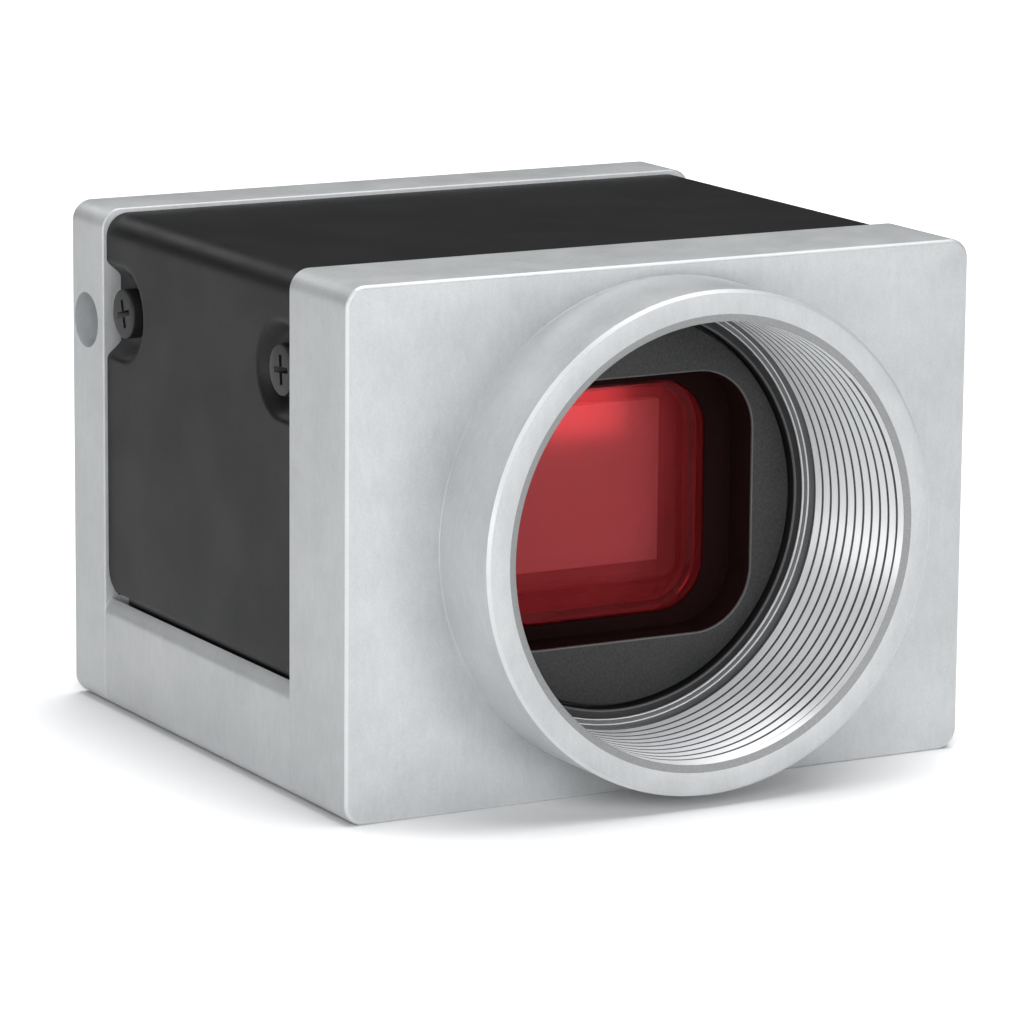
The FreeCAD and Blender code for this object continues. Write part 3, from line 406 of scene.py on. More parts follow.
@dataclass(frozen=True)
class PlatedMetal:
    """A plated or bare bright metal with faint drawing lines."""

    name: str
    colour: Triple
    roughness: float
    lines: Noise = Noise(900.0, 2.0, 0.6, stretch=(1.0, 8.0, 1.0))
    dark_share: float = 0.86
    line_roughness: float = 0.08

    def make(self) -> Material:
        """Builds the material.

        Returns:
            The finished material.
        """
        tree = Tree(self.name)
        lines = tree.noise(self.lines)
        mask = tree.mask(self.lines, lines)
        surface = tree.shade(
            Base_Color=tree.mix(mask, scaled(self.colour, self.dark_share), self.colour),
            Metallic=1.0,
            Roughness=mask * self.line_roughness + self.roughness,
            Normal=tree.bump(lines, MICRON),
        )
        return tree.finish(surface)


@dataclass(frozen=True)
class CoatedGlass:
    """Filter glass that throws back red and lets the sensor show through."""

    name: str = "filter_glass"
    tint: Triple = (0.55, 0.030, 0.034)
    sheen: Triple = (0.95, 0.087, 0.10)
    passed: Triple = (0.975, 0.655, 0.665)
    haze: Noise = Noise(300.0)
    tint_share: float = 0.9
    body_roughness: float = 0.3
    body_specular: float = 0.05
    veil: float = 0.06
    veil_haze: float = 0.02
    shine: float = 0.05
    shine_haze: float = 0.01
    shine_roughness: float = 0.08

    def make(self) -> Material:
        """Builds the material.

        Returns:
            The finished material.
        """
        tree = Tree(self.name)
        haze = tree.mask(self.haze)
        see = tree.add("ShaderNodeBsdfTransparent", None, {"Color": self.passed})
        coat = tree.shade(
            Base_Color=tree.mix(haze, self.tint, scaled(self.tint, self.tint_share)),
            Roughness=self.body_roughness,
            Specular_IOR_Level=self.body_specular,
        )
        values = {"Color": self.sheen, "Roughness": self.shine_roughness}
        gloss = tree.add("ShaderNodeBsdfAnisotropic", None, values)
        body = tree.blend(haze * self.veil_haze + self.veil, see, coat)
        return tree.finish(tree.blend(haze * self.shine_haze + self.shine, body, gloss))


@dataclass(frozen=True)
class ClearGlass:
    """Thin clear glass or clear plastic."""

    name: str = "clear_glass"
    tint: Triple = (0.96, 0.98, 0.98)
    milk: float = 0.08
    haze: Noise = Noise(500.0)
    haze_share: float = 0.03
    roughness: float = 0.04

    def make(self) -> Material:
        """Builds the material.

        Returns:
            The finished material.
        """
        tree = Tree(self.name)
        haze = tree.mask(self.haze) * self.haze_share
        see = tree.add("ShaderNodeBsdfTransparent", None, {"Color": self.tint})
        face = tree.shade(Base_Color=self.tint, Roughness=haze + self.roughness)
        return tree.finish(tree.blend(haze + self.milk, see, face))


@dataclass(frozen=True)
class SensorSurface:
    """The image area of the sensor, with its fine rows and faint sheen."""

    name: str = "sensor_silicon"
    colour: Triple = grey(0.47, 0.48)
    rows: Triple = grey(0.53, 0.54)
    lines: Noise = Noise(1200.0, 1.0, 0.5, 0.35, 0.65, (1.0, 1.0, 30.0))
    line_roughness: float = 0.04
    roughness: float = 0.30
    specular: float = 0.3

    def make(self) -> Material:
        """Builds the material.

        Returns:
            The finished material.
        """
        tree = Tree(self.name)
        mask = tree.mask(self.lines)
        surface = tree.shade(
            Base_Color=tree.mix(mask, self.colour, self.rows),
            Roughness=mask * self.line_roughness + self.roughness,
            Specular_IOR_Level=self.specular,
        )
        return tree.finish(surface)


@dataclass(frozen=True)
class BoardMask:
    """Green solder mask over copper tracks."""

    name: str = "circuit_board"
    colour: Triple = (0.015, 0.11, 0.05)
    track: Triple = (0.03, 0.19, 0.08)
    tracks_per_metre: float = 900.0
    track_edge: Pair = (0.38, 0.42)
    track_height: float = 20.0 * MICRON
    track_strength: float = 0.4
    roughness: float = 0.30
    track_roughness: float = 0.08

    def make(self) -> Material:
        """Builds the material.

        Returns:
            The finished material.
        """
        tree = Tree(self.name)
        cells = {"Vector": tree.place(), "Scale": self.tracks_per_metre}
        ground = tree.add("ShaderNodeTexVoronoi", {"distance": "CHEBYCHEV"}, cells)
        mask = tree.between(ground, *self.track_edge)
        surface = tree.shade(
            Base_Color=tree.mix(mask, self.colour, self.track),
            Roughness=mask * self.track_roughness + self.roughness,
            Normal=tree.bump(mask, self.track_height, self.track_strength),
        )
        return tree.finish(surface)


@dataclass(frozen=True)
class StageWhite:
    """The pale floor, lifted to white for the lens, with a painted contact shadow close under the camera."""

    name: str = "stage_floor"
    colour: Triple = grey(0.93)
    drift: Noise = Noise(4.0, 1.0)
    drift_lift: float = 1.01
    lift: float = 1.64
    # Painted contact shadow: how far the occlusion looks, the darkest share of white that it paints, and the
    # occlusion at or below which it is darkest.
    reach: float = 0.009
    contact: float = 0.62
    painted_shadow_start: float = 0.45
    rays: int = 8
    roughness: float = 0.9
    specular: float = 0.1

    def make(self) -> Material:
        """Builds the material.

        Returns:
            The finished material.
        """
        tree = Tree(self.name)
        seen = tree.add("ShaderNodeLightPath", out="Is Camera Ray")
        plain = tree.mix(tree.mask(self.drift), self.colour, scaled(self.colour, self.drift_lift))
        # A painted contact shadow: ambient occlusion darkens the floor's colour seen by the lens close to
        # the camera.
        near = tree.add("ShaderNodeAmbientOcclusion", {"samples": self.rays}, {"Distance": self.reach}, "AO")
        shaded = tree.between(near, self.painted_shadow_start, 1.0, self.contact)
        lifted = tree.mix(shaded, grey(0.0), scaled(self.colour, self.lift))
        surface = tree.shade(
            Base_Color=tree.mix(seen, plain, lifted),
            Roughness=self.roughness,
            Specular_IOR_Level=self.specular,
        )
        return tree.finish(surface)


class Palette:
    """Every finish of the camera, made once, by its record slot or its own name."""

    def __init__(self) -> None:
        """Builds the materials."""
        blasted, powder, moulded, anodised = Grain.BLASTED, Grain.POWDER, Grain.MOULDED, Grain.ANODISED
        finishes = [
            SatinAluminium(),
            # A lighter, smoother copy of the satin aluminium for the chamfers: the lighter colour is a
            # painted highlight, the lower roughness a smoother cut.
            SatinAluminium("satin_edge", (0.70, 0.71, 0.72), (0.80, 0.81, 0.82), 0.35, 0.38),
            TurnedAluminium(),
            CoatedGlass(),
            ClearGlass(),
            ClearGlass("light_pipe", (0.90, 0.96, 0.93), 0.25),
            SensorSurface(),
            BoardMask(),
            GrainedFinish(
                "cover_paint", grey(0.009, 0.0095), grey(0.014, 0.0145), 0.44, powder, 5.0, 0.0, 0.33
            ),
            GrainedFinish("black_anodised", grey(0.010, 0.011), grey(0.020, 0.022), 0.40, anodised, 2.0),
            GrainedFinish("black_plastic", grey(0.024, 0.025), grey(0.052, 0.053), 0.55, moulded, 28.0),
            # A darker, red-tinged copy of the holder's black for its window wall, step and filter pocket:
            # painted shade deep in the window, tinted red.
            GrainedFinish(
                "well_black", (0.012, 0.003, 0.003), (0.016, 0.004, 0.004), 0.8, moulded, 3.0, 0.0, 0.1
            ),
            GrainedFinish("seal_rubber", grey(0.012), grey(0.022), 0.7, moulded, 4.0),
            GrainedFinish("ceramic", (0.045, 0.04, 0.04), (0.055, 0.05, 0.05), 0.6, moulded, 2.0, 0.0, 0.15),
            GrainedFinish("chip_resin", grey(0.018, 0.019), grey(0.03, 0.031), 0.5, moulded, 3.0),
            GrainedFinish("ceramic_capacitor", (0.38, 0.27, 0.17), (0.46, 0.34, 0.23), 0.35, moulded, 2.0),
            GrainedFinish("ferrite", grey(0.07), grey(0.10), 0.6, moulded, 5.0),
            GrainedFinish("thermal_pad", (0.28, 0.31, 0.35), (0.34, 0.37, 0.41), 0.8, powder, 6.0),
            GrainedFinish("led", (0.80, 0.77, 0.60), (0.86, 0.84, 0.70), 0.2, moulded, 1.0),
            GrainedFinish("black_screw", grey(0.016, 0.017), grey(0.028, 0.030), 0.34, anodised, 2.0, 0.4),
            # A much darker copy of the aluminium for the thread's roots, flanks and relief groove: painted
            # shade in the grooves.
            GrainedFinish("thread_groove", grey(0.10, 0.102), grey(0.14, 0.142), 0.5, blasted, 2.0, 0.3),
            # A lighter copy of the black anodising for the small edge chamfers of the clamping ring and
            # holder: painted highlight.
            GrainedFinish("black_edge", grey(0.10), grey(0.16), 0.35, anodised, 1.0, 0.3),
            # A darker copy of the aluminium for the front-facing shoulders deep in the bore: painted shade.
            GrainedFinish("relief_face", (0.20, 0.202, 0.205), (0.26, 0.262, 0.265), 0.5, blasted, 2.0, 0.2),
            # A darker copy of the aluminium for the chamfer at the mouth of the bore: painted shade.
            GrainedFinish("mouth_band", (0.30, 0.303, 0.306), (0.36, 0.363, 0.366), 0.45, blasted, 2.0, 0.3),
            PlatedMetal("plain_aluminium", (0.72, 0.73, 0.74), 0.32),
            PlatedMetal("zinc_steel", grey(0.60, 0.58), 0.30),
            PlatedMetal("nickel_shell", (0.66, 0.65, 0.62), 0.20),
            PlatedMetal("gold_contact", (0.87, 0.64, 0.26), 0.18),
            PlatedMetal("brass_standoff", (0.74, 0.58, 0.30), 0.25),
            StageWhite(),
        ]
        self.materials = {finish.name: finish.make() for finish in finishes}
        self.materials["silicon"] = self.materials["sensor_silicon"]

    def __getitem__(self, name: str) -> Material:
        """The material of a name."""
        return self.materials[name]


def full_turn(sides: int) -> np.ndarray:
    """Even bearings once round, in radians."""
    return np.linspace(0, 2 * math.pi, sides, endpoint=False)


def quarter_turn(steps: int) -> np.ndarray:
    """Even angles from nought to a right angle, both included, in radians."""
    return np.radians(np.linspace(0, 90, steps + 1))


def outline_angles(size: Triple, per_corner: int, per_side: int) -> np.ndarray:
    """Bearings that put enough points on a rounded rectangle's corners and along its sides.

    Args:
        size: Width, height and corner radius, in millimetres.
        per_corner: Steps round each corner.
        per_side: Steps along each side.

    Returns:
        The rising bearings, in radians.
    """
    width, height, radius = size
    core_x, core_z = width / 2 - radius, height / 2 - radius
    centres = [(core_x, core_z), (-core_x, core_z), (-core_x, -core_z), (core_x, -core_z)]
    bearings = []
    for quarter, (x, z) in enumerate(centres):
        for turn in quarter * math.pi / 2 + quarter_turn(per_corner):
            bearings.append(math.atan2(z + radius * math.sin(turn), x + radius * math.cos(turn)))
        next_x, next_z = centres[(quarter + 1) % len(centres)]
        for share in np.arange(1, per_side) / per_side:
            side_x = x + (next_x - x) * share + radius * math.cos(turn)
            side_z = z + (next_z - z) * share + radius * math.sin(turn)
            bearings.append(math.atan2(side_z, side_x))
    return np.unwrap(np.array(bearings))


def rounded(size: Triple, inset: float, y: float, angles: np.ndarray, z: float = AXIS_Z) -> Loop:
    """A rounded rectangle in a plane across Y.

    Args:
        size: Width, height and corner radius, in millimetres.
        inset: How far its outline moves in, in millimetres.
        y: The plane's place.
        angles: The bearing of each point from the middle, in radians.
        z: The height of the middle.

    Returns:
        An (x, y, z) row for each bearing, where it meets the outline.
    """
    width, height, radius = size[0] - 2 * inset, size[1] - 2 * inset, max(size[2] - inset, LEAST_RADIUS)
    core_x, core_z = width / 2 - radius, height / 2 - radius
    c, s = np.cos(angles), np.sin(angles)
    straight = np.minimum(width / 2 / np.maximum(abs(c), TINY), height / 2 / np.maximum(abs(s), TINY))
    mid_x, mid_z = np.copysign(core_x, c), np.copysign(core_z, s)
    toward = mid_x * c + mid_z * s
    gap = mid_x * mid_x + mid_z * mid_z - radius * radius
    bent = toward + np.sqrt(np.maximum(toward * toward - gap, 0.0))
    in_corner = (abs(straight * c) > core_x) & (abs(straight * s) > core_z)
    reach = np.where(in_corner, bent, straight)
    return np.stack([reach * c, np.full(len(angles), y), z + reach * s], 1)


def circle(radius: float, y: float, angles: np.ndarray, x: float = 0.0, z: float = AXIS_Z) -> Loop:
    """A circle about a line along Y, as (x, y, z) rows in millimetres."""
    return np.stack([x + radius * np.cos(angles), np.full(len(angles), y), z + radius * np.sin(angles)], 1)


def bridge(name: str, loops: Sequence[Loop], closed: bool = True, capped: bool = False) -> Piece:
    """A shell of quads between loops with equal counts.

    Args:
        name: The piece's name.
        loops: Arrays of (x, y, z) rows in millimetres.
        closed: Whether the last loop joins the first.
        capped: Whether the first and last loops are filled.

    Returns:
        The new object, with its faces pointing outwards.
    """
    mesh = bmesh.new()
    rows = [[mesh.verts.new(Vector(point) * MM) for point in loop] for loop in loops]
    pairs = list(zip(rows, rows[1:])) + ([(rows[-1], rows[0])] if closed else [])
    for low, high in pairs:
        for i in range(len(low)):
            j = (i + 1) % len(low)
            mesh.faces.new((low[i], low[j], high[j], high[i]))
    if capped:
        mesh.faces.new(rows[0])
        mesh.faces.new(list(reversed(rows[-1])))
    bmesh.ops.recalc_face_normals(mesh, faces=mesh.faces)
    return to_object(name, mesh)


def to_object(name: str, mesh: bmesh.types.BMesh) -> Piece:
    """Puts a bmesh into a new linked object and frees it.

    Args:
        name: The object's name.
        mesh: The bmesh, in metres.

    Returns:
        The new object.
    """
    data = bpy.data.meshes.new(name)
    mesh.to_mesh(data)
    mesh.free()
    return link(name, data)


def link(name: str, data: bpy.types.ID) -> Piece:
    """Puts data into a new object in the scene.

    Args:
        name: The object's name.
        data: Its mesh, camera or light.

    Returns:
        The new object.
    """
    made = bpy.data.objects.new(name, data)
    bpy.context.scene.collection.objects.link(made)
    return made


def extruded(name: str, outline: Sequence[Pair], y0: float, y1: float) -> Piece:
    """A straight prism along Y.

    Args:
        name: The piece's name.
        outline: Its (x, z) points in millimetres.
        y0: Where it starts.
        y1: Where it ends.

    Returns:
        The closed prism.
    """
    loops = [np.array([(x, y, z) for x, z in outline]) for y in (y0, y1)]
    return bridge(name, loops, closed=False, capped=True)


def turned(name: str, profile: Sequence[Pair], sides: int) -> Piece:
    """A closed shape turned about Z.

    Args:
        name: The piece's name.
        profile: Radius and height of each loop, from one end to the other, in millimetres.
        sides: Points in each loop.

    Returns:
        The closed shape.
    """
    angles = full_turn(sides)
    loops = [np.stack([r * np.cos(angles), r * np.sin(angles), np.full(sides, z)], 1) for r, z in profile]
    return bridge(name, loops, closed=False, capped=True)


def rod(name: str, radius: float, start: Triple, end: Triple, sides: int = 96) -> Piece:
    """A closed cylinder between two points.

    Args:
        name: The piece's name.
        radius: Its radius in millimetres.
        start: The middle of one end.
        end: The middle of the other end.
        sides: Points round it.

    Returns:
        The cylinder.
    """
    mesh = bmesh.new()
    run = Vector(end) - Vector(start)
    size = {"radius1": radius * MM, "radius2": radius * MM, "depth": run.length * MM}
    bmesh.ops.create_cone(mesh, cap_ends=True, segments=sides, **size)
    turn = UP.rotation_difference(run).to_matrix().to_4x4()
    middle = (Vector(start) + Vector(end)) / 2 * MM
    bmesh.ops.transform(mesh, matrix=Matrix.Translation(middle) @ turn, verts=mesh.verts)
    return to_object(name, mesh)


def add_block(mesh: bmesh.types.BMesh, x: Pair, y: Pair, z: Pair) -> None:
    """Adds a box to a bmesh.

    Args:
        mesh: The bmesh, in metres.
        x: Its span along X, in millimetres.
        y: Its span along Y.
        z: Its span along Z.
    """
    made = bmesh.ops.create_cube(mesh, size=1.0)
    size = Matrix.Diagonal([abs(end - start) * MM for start, end in (x, y, z)] + [1.0])
    middle = Vector([(start + end) / 2 for start, end in (x, y, z)]) * MM
    bmesh.ops.transform(mesh, matrix=Matrix.Translation(middle) @ size, verts=made["verts"])


def cut(piece: Piece, tools: Sequence[Piece]) -> None:
    """Takes closed tool shapes out of a piece for good.

    Args:
        piece: The piece.
        tools: The shapes, which are removed afterwards.
    """
    for tool in tools:
        change = piece.modifiers.new("cut", "BOOLEAN")
        change.operation = "DIFFERENCE"
        change.solver = "EXACT"
        change.object = tool
        settle(piece)
        bpy.data.objects.remove(tool)


def settle(piece: Piece) -> None:
    """Turns a piece's live modifiers into its own mesh.

    Args:
        piece: The piece.
    """
    graph = bpy.context.evaluated_depsgraph_get()
    graph.update()
    done = bpy.data.meshes.new_from_object(piece.evaluated_get(graph))
    old = piece.data
    piece.modifiers.clear()
    piece.data = done
    bpy.data.meshes.remove(old)


def soften(piece: Piece, width: float, angle: float = 40.0) -> None:
    """Rounds a piece's sharp edges.

    Args:
        piece: The piece.
        width: The rounding's width in millimetres.
        angle: The least angle of an edge that is rounded, in degrees.
    """
    change = piece.modifiers.new("soft_edges", "BEVEL")
    change.width = width * MM
    change.segments = 2
    change.limit_method = "ANGLE"
    change.angle_limit = math.radians(angle)
    change.miter_outer = "MITER_ARC"
    change.use_clamp_overlap = True
    settle(piece)


def smooth(piece: Piece, angle: float = SHARP) -> None:
    """Shades a piece smooth, apart from its sharp edges.

    Args:
        piece: The piece.
        angle: The angle in degrees past which an edge stays sharp.
    """
    for face in piece.data.polygons:
        face.use_smooth = True
    piece.data.set_sharp_from_angle(angle=math.radians(angle))


def dress(piece: Piece, material: Material, nodes: Sequence[str] = ()) -> Piece:
    """Gives a piece its finish and its place in the camera.

    Args:
        piece: The piece.
        material: Its finish.
        nodes: The nodes that it stands for.

    Returns:
        The same piece.
    """
    piece.data.materials.clear()
    piece.data.materials.append(material)
    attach(piece, "root")
    if nodes:
        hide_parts(*nodes)
    LOG.info("%s: %d faces", piece.name, len(piece.data.polygons))
    return piece


def paint_rows(piece: Piece, material: Material, rows: Sequence[int], count: int) -> None:
    """Gives whole rows of a shell's faces a finish of their own.

    Args:
        piece: A piece made by bridge.
        material: The finish.
        rows: The places of the rows, each between one loop and the next.
        count: The points in each loop.
    """
    piece.data.materials.append(material)
    for index, face in enumerate(piece.data.polygons):
        if index // count in rows:
            face.material_index = len(piece.data.materials) - 1


class Growth:
    """A Geometry Nodes tree with named inputs, run once on a new object."""

    def __init__(self, name: str) -> None:
        """Makes the tree with a geometry output.

        Args:
            name: The name of the tree and of the piece that grows from it.
        """
        self.name = name
        self.tree = bpy.data.node_groups.new(name, "GeometryNodeTree")
        self.tree.interface.new_socket("Geometry", in_out="OUTPUT", socket_type="NodeSocketGeometry")
        self.entry = self.tree.nodes.new("NodeGroupInput")
        self.exit = self.tree.nodes.new("NodeGroupOutput")
        self.sizes: Dict[str, object] = {}

    def size(self, name: str, value: object, kind: str = "NodeSocketFloat") -> Socket:
        """Adds a named input.

        Args:
            name: The input's name.
            value: The value that the modifier gives it.
            kind: The type of its socket.

        Returns:
            Its socket in the tree.
        """
        item = self.tree.interface.new_socket(name, in_out="INPUT", socket_type=kind)
        self.sizes[item.identifier] = value
        return self.entry.outputs[name]

    def add(
        self,
        kind: str,
        values: Optional[Dict[Union[int, str], object]] = None,
        settings: Optional[Dict[str, object]] = None,
    ) -> bpy.types.Node:
        """Adds a node.

        Args:
            kind: The node's type name.
            values: Its input sockets' values or links, by name or place.
            settings: Its properties, which are set first.

        Returns:
            The node.
        """
        node = self.tree.nodes.new(kind)
        for key, value in (settings or {}).items():
            setattr(node, key, value)
        for key, value in (values or {}).items():
            if isinstance(value, Socket):
                self.tree.links.new(value, node.inputs[key])
            else:
                node.inputs[key].default_value = value
        return node

    def move(self, shape: Socket, by: Sequence[float], turn: Sequence[float]) -> Socket:
        """Moves and turns a shape.

        Args:
            shape: The shape's socket.
            by: How far, in metres.
            turn: Its turns about X, Y and Z, in radians.

        Returns:
            The moved shape's socket.
        """
        values = {0: shape, "Translation": by, "Rotation": turn}
        return self.add("GeometryNodeTransform", values).outputs[0]

    def grow(self, shape: Socket, material: Material) -> Piece:
        """Ends the tree in Realize Instances and Set Material and runs it.

        Args:
            shape: The socket of the finished shape.
            material: Its finish.

        Returns:
            The result as a plain piece.
        """
        real = self.add("GeometryNodeRealizeInstances", {0: shape})
        dressed = self.add("GeometryNodeSetMaterial", {0: real.outputs[0], "Material": material})
        self.tree.links.new(dressed.outputs[0], self.exit.inputs[0])
        piece = link(self.name, bpy.data.meshes.new(self.name))
        change = piece.modifiers.new("grow", "NODES")
        change.node_group = self.tree
        for identifier, value in self.sizes.items():
            change[identifier] = value
        settle(piece)
        return piece


@dataclass(frozen=True)
class Spot:
    """Where a copy goes: a point in millimetres, its direction, and its twist in degrees."""

    point: Triple
    direction: Vector = REARWARD
    twist: float = 0.0

    def turn(self) -> Triple:
        """The turns about X, Y and Z that lay a model along the direction, in radians."""
        twist = Matrix.Rotation(math.radians(self.twist), 3, "Z")
        return tuple((UP.rotation_difference(self.direction).to_matrix() @ twist).to_euler())


def scatter(
    name: str, model: Piece, spots: Sequence[Spot], material: Material, node: str
) -> None:
    """Copies a model to its spots through Geometry Nodes.

    Args:
        name: The piece's name.
        model: The object to copy, which points along +Z and is removed afterwards.
        spots: Where the copies go.
        material: The finish of every copy.
        node: The node that the piece stands for.
    """
    growth = Growth(name)
    source = growth.size("Model", model, "NodeSocketObject")
    values = {"Object": source, "As Instance": True}
    copy = growth.add("GeometryNodeObjectInfo", values, {"transform_space": "ORIGINAL"}).outputs["Geometry"]
    join = growth.add("GeometryNodeJoinGeometry")
    for spot in spots:
        placed = growth.move(copy, Vector(spot.point) * MM, spot.turn())
        growth.tree.links.new(placed, join.inputs[0])
    piece = growth.grow(join.outputs[0], material)
    smooth(piece, SHARP_ROUND)
    dress(piece, material, [node])
    bpy.data.objects.remove(model)


@dataclass
class Housing:
    """The bar and frame of the front block, and the rear plate, in millimetres and degrees."""

    # Outline and edges of the plates
    outer: Triple = (40.0, 30.0, 1.2)
    edge: float = 0.2
    seam: float = 0.1
    edge_steps: Tuple[Pair, ...] = (
        (0.0, 1.12), (0.05, 0.90), (0.16, 0.72), (0.72, 0.16), (0.90, 0.05), (1.12, 0.0)
    )
    per_corner: int = 12
    per_side: int = 40
    # The bar, its bevel, groove and rib, and its mounting holes
    floor_z: float = 4.0
    shelf_z: float = 6.65
    bar_side_z: float = 5.85
    bevel_x: float = 19.5
    bar_edge_r: float = 0.8
    bar_edge_steps: int = 6
    groove_z: float = 6.05
    rib_top_z: float = 8.85
    rib_inner_x: float = 17.5
    foot_hole_x: float = 13.0
    foot_hole_ys: Pair = (-5.75, 10.25)
    foot_hole_r: float = 1.5
    foot_hole_depth: float = 3.2
    # The frame round the sensor and the room for the cover's pressed seats
    frame_rear_y: float = -2.75
    frame_half_x: float = 19.0
    frame_top_z: float = 29.0
    frame_corner: float = 0.7
    seat_x: float = 18.15
    seat_r: float = 3.07
    seat_front_y: float = 9.0
    # The holes in the rear plate
    side_bore_x: float = 17.0
    side_bore_y: float = 17.6
    side_bore_z: float = 23.1
    side_bore_r: float = 1.65
    round_hole_r: float = 4.9
    light_at: Pair = (-12.0, 14.5)
    light_r: float = 0.8
    data_hole: Triple = (13.4, 3.9, 1.0)
    lock_r: float = 1.0
    lock_end_y: float = 16.05
    screw_hole_r: float = 1.1
    screw_sink_r: float = 1.75
    screw_sink_depth: float = 0.65
    screw_sink_form: Triple = (2.0, 2.0, 0.9)
    # The lip, ears and pillars in front of the rear plate
    lip_front_y: float = 13.25
    lip_overlap: float = 0.05
    lip_low_z: float = 9.3
    lip_roof_z: float = 27.5
    ear_front_y: float = 11.45
    ear_inner_x: float = 15.4
    ear_half_height: float = 3.3
    pillar_x: float = 13.0
    pillar_zs: Pair = (8.05, 25.3)
    pillar_r: float = 1.9
    pillar_height: float = 2.7
    # How fine the holes and pillars are
    hole_sides: int = 48
    round_sides: int = 128
    pillar_sides: int = 64
    data_steps: Tuple[int, int] = (10, 4)
    # How far the cutting shapes reach past what they cut
    past: float = 21.0
    reach_in: float = 1.25
    tool_overlap: float = 0.1
    tool_start: float = 1.0
    # The rounding of sharp edges
    bar_soft: float = 0.06
    plate_soft: float = 0.05
    plate_soft_angle: float = 50.0
    lip_soft: float = 0.15

    def angles(self) -> np.ndarray:
        """The bearings shared by the plates' outlines and the bore."""
        return outline_angles(self.outer, self.per_corner, self.per_side)

    def outline(self, inset: float, y: float) -> Loop:
        """The outer outline, moved in by an inset, at a place along Y."""
        return rounded(self.outer, inset, y, self.angles())

    def edge_arc(self, y: float, inward: float, size: float) -> List[Loop]:
        """Loops that break an outer edge at a face with a softened chamfer.

        Args:
            y: The face's place.
            inward: The sign of Y that leads from the face into the metal.
            size: The chamfer's size.

        Returns:
            The loops, from the side to the face.
        """
        return [self.outline(size * inset, y + inward * size * back) for inset, back in self.edge_steps]

    def seat_span(self, side: Side) -> List[Pair]:
        """The (x, z) corners of the room for a pressed seat of the cover.

        Args:
            side: The side of the camera.

        Returns:
            Its four corners.
        """
        low, high = sorted((side.value * self.seat_x, side.value * self.past))
        under, over = SEAT_Z - self.seat_r, SEAT_Z + self.seat_r
        return [(low, under), (high, under), (high, over), (low, over)]

    def bottom_bar(self, palette: Palette) -> None:
        """The bar along the underside, with its bevel, grooves, ribs and mounting holes.

        Args:
            palette: The finishes.
        """
        width, _, corner = self.outer
        side_x = width / 2
        slope = math.atan2(side_x - self.bevel_x, self.shelf_z - self.bar_side_z)
        start = self.bar_side_z - self.bar_edge_r * math.tan(slope / 2)
        half = [
            (side_x - corner * (1 - math.sin(t)), corner * (1 - math.cos(t)))
            for t in quarter_turn(self.per_corner)
        ]
        half += [
            (side_x - self.bar_edge_r * (1 - math.cos(t)), start + self.bar_edge_r * math.sin(t))
            for t in np.linspace(0.0, slope, self.bar_edge_steps + 1)
        ]
        half += [
            (self.bevel_x, self.shelf_z),
            (self.bevel_x, self.groove_z),
            (self.frame_half_x, self.groove_z),
            (self.frame_half_x, self.rib_top_z),
            (self.rib_inner_x, self.rib_top_z),
            (self.rib_inner_x, self.floor_z),
        ]
        points = half + [(-x, z) for x, z in reversed(half)]
        piece = extruded("bottom_bar", points, BLOCK_REAR_Y, PLATE_FRONT_Y)
        for x in (-self.foot_hole_x, self.foot_hole_x):
            for y in self.foot_hole_ys:
                ends = ((x, y, -self.tool_start), (x, y, self.foot_hole_depth))
                cut(piece, [rod("foot_hole", self.foot_hole_r, *ends, self.hole_sides)])
        soften(piece, self.bar_soft)
        smooth(piece)
        dress(piece, palette["satin_aluminium"], ["front_block"])

    def sensor_frame(self, palette: Palette, bore: float) -> None:
        """The frame behind the front plate, round the sensor.

        Args:
            palette: The finishes.
            bore: The radius of its bore.
        """
        angles = self.angles()
        size = (2 * self.frame_half_x, self.frame_top_z - self.floor_z, self.frame_corner)
        middle = (self.frame_top_z + self.floor_z) / 2
        ends = (BLOCK_REAR_Y, self.frame_rear_y)
        loops = [rounded(size, 0.0, y, angles, middle) for y in ends]
        loops += [circle(bore, y, angles) for y in reversed(ends)]
        piece = bridge("sensor_frame", loops)
        for side in Side:
            low, high = sorted((side.value * self.seat_x, side.value * self.past))
            ends = ((low, FRONT_SEAT_Y, SEAT_Z), (high, FRONT_SEAT_Y, SEAT_Z))
            cut(piece, [rod("seat", self.seat_r, *ends)])
            span = (BLOCK_REAR_Y - self.tool_start, FRONT_SEAT_Y)
            cut(piece, [extruded("seat_run", self.seat_span(side), *span)])
        smooth(piece)
        dress(piece, palette["satin_aluminium"], ["front_block"])

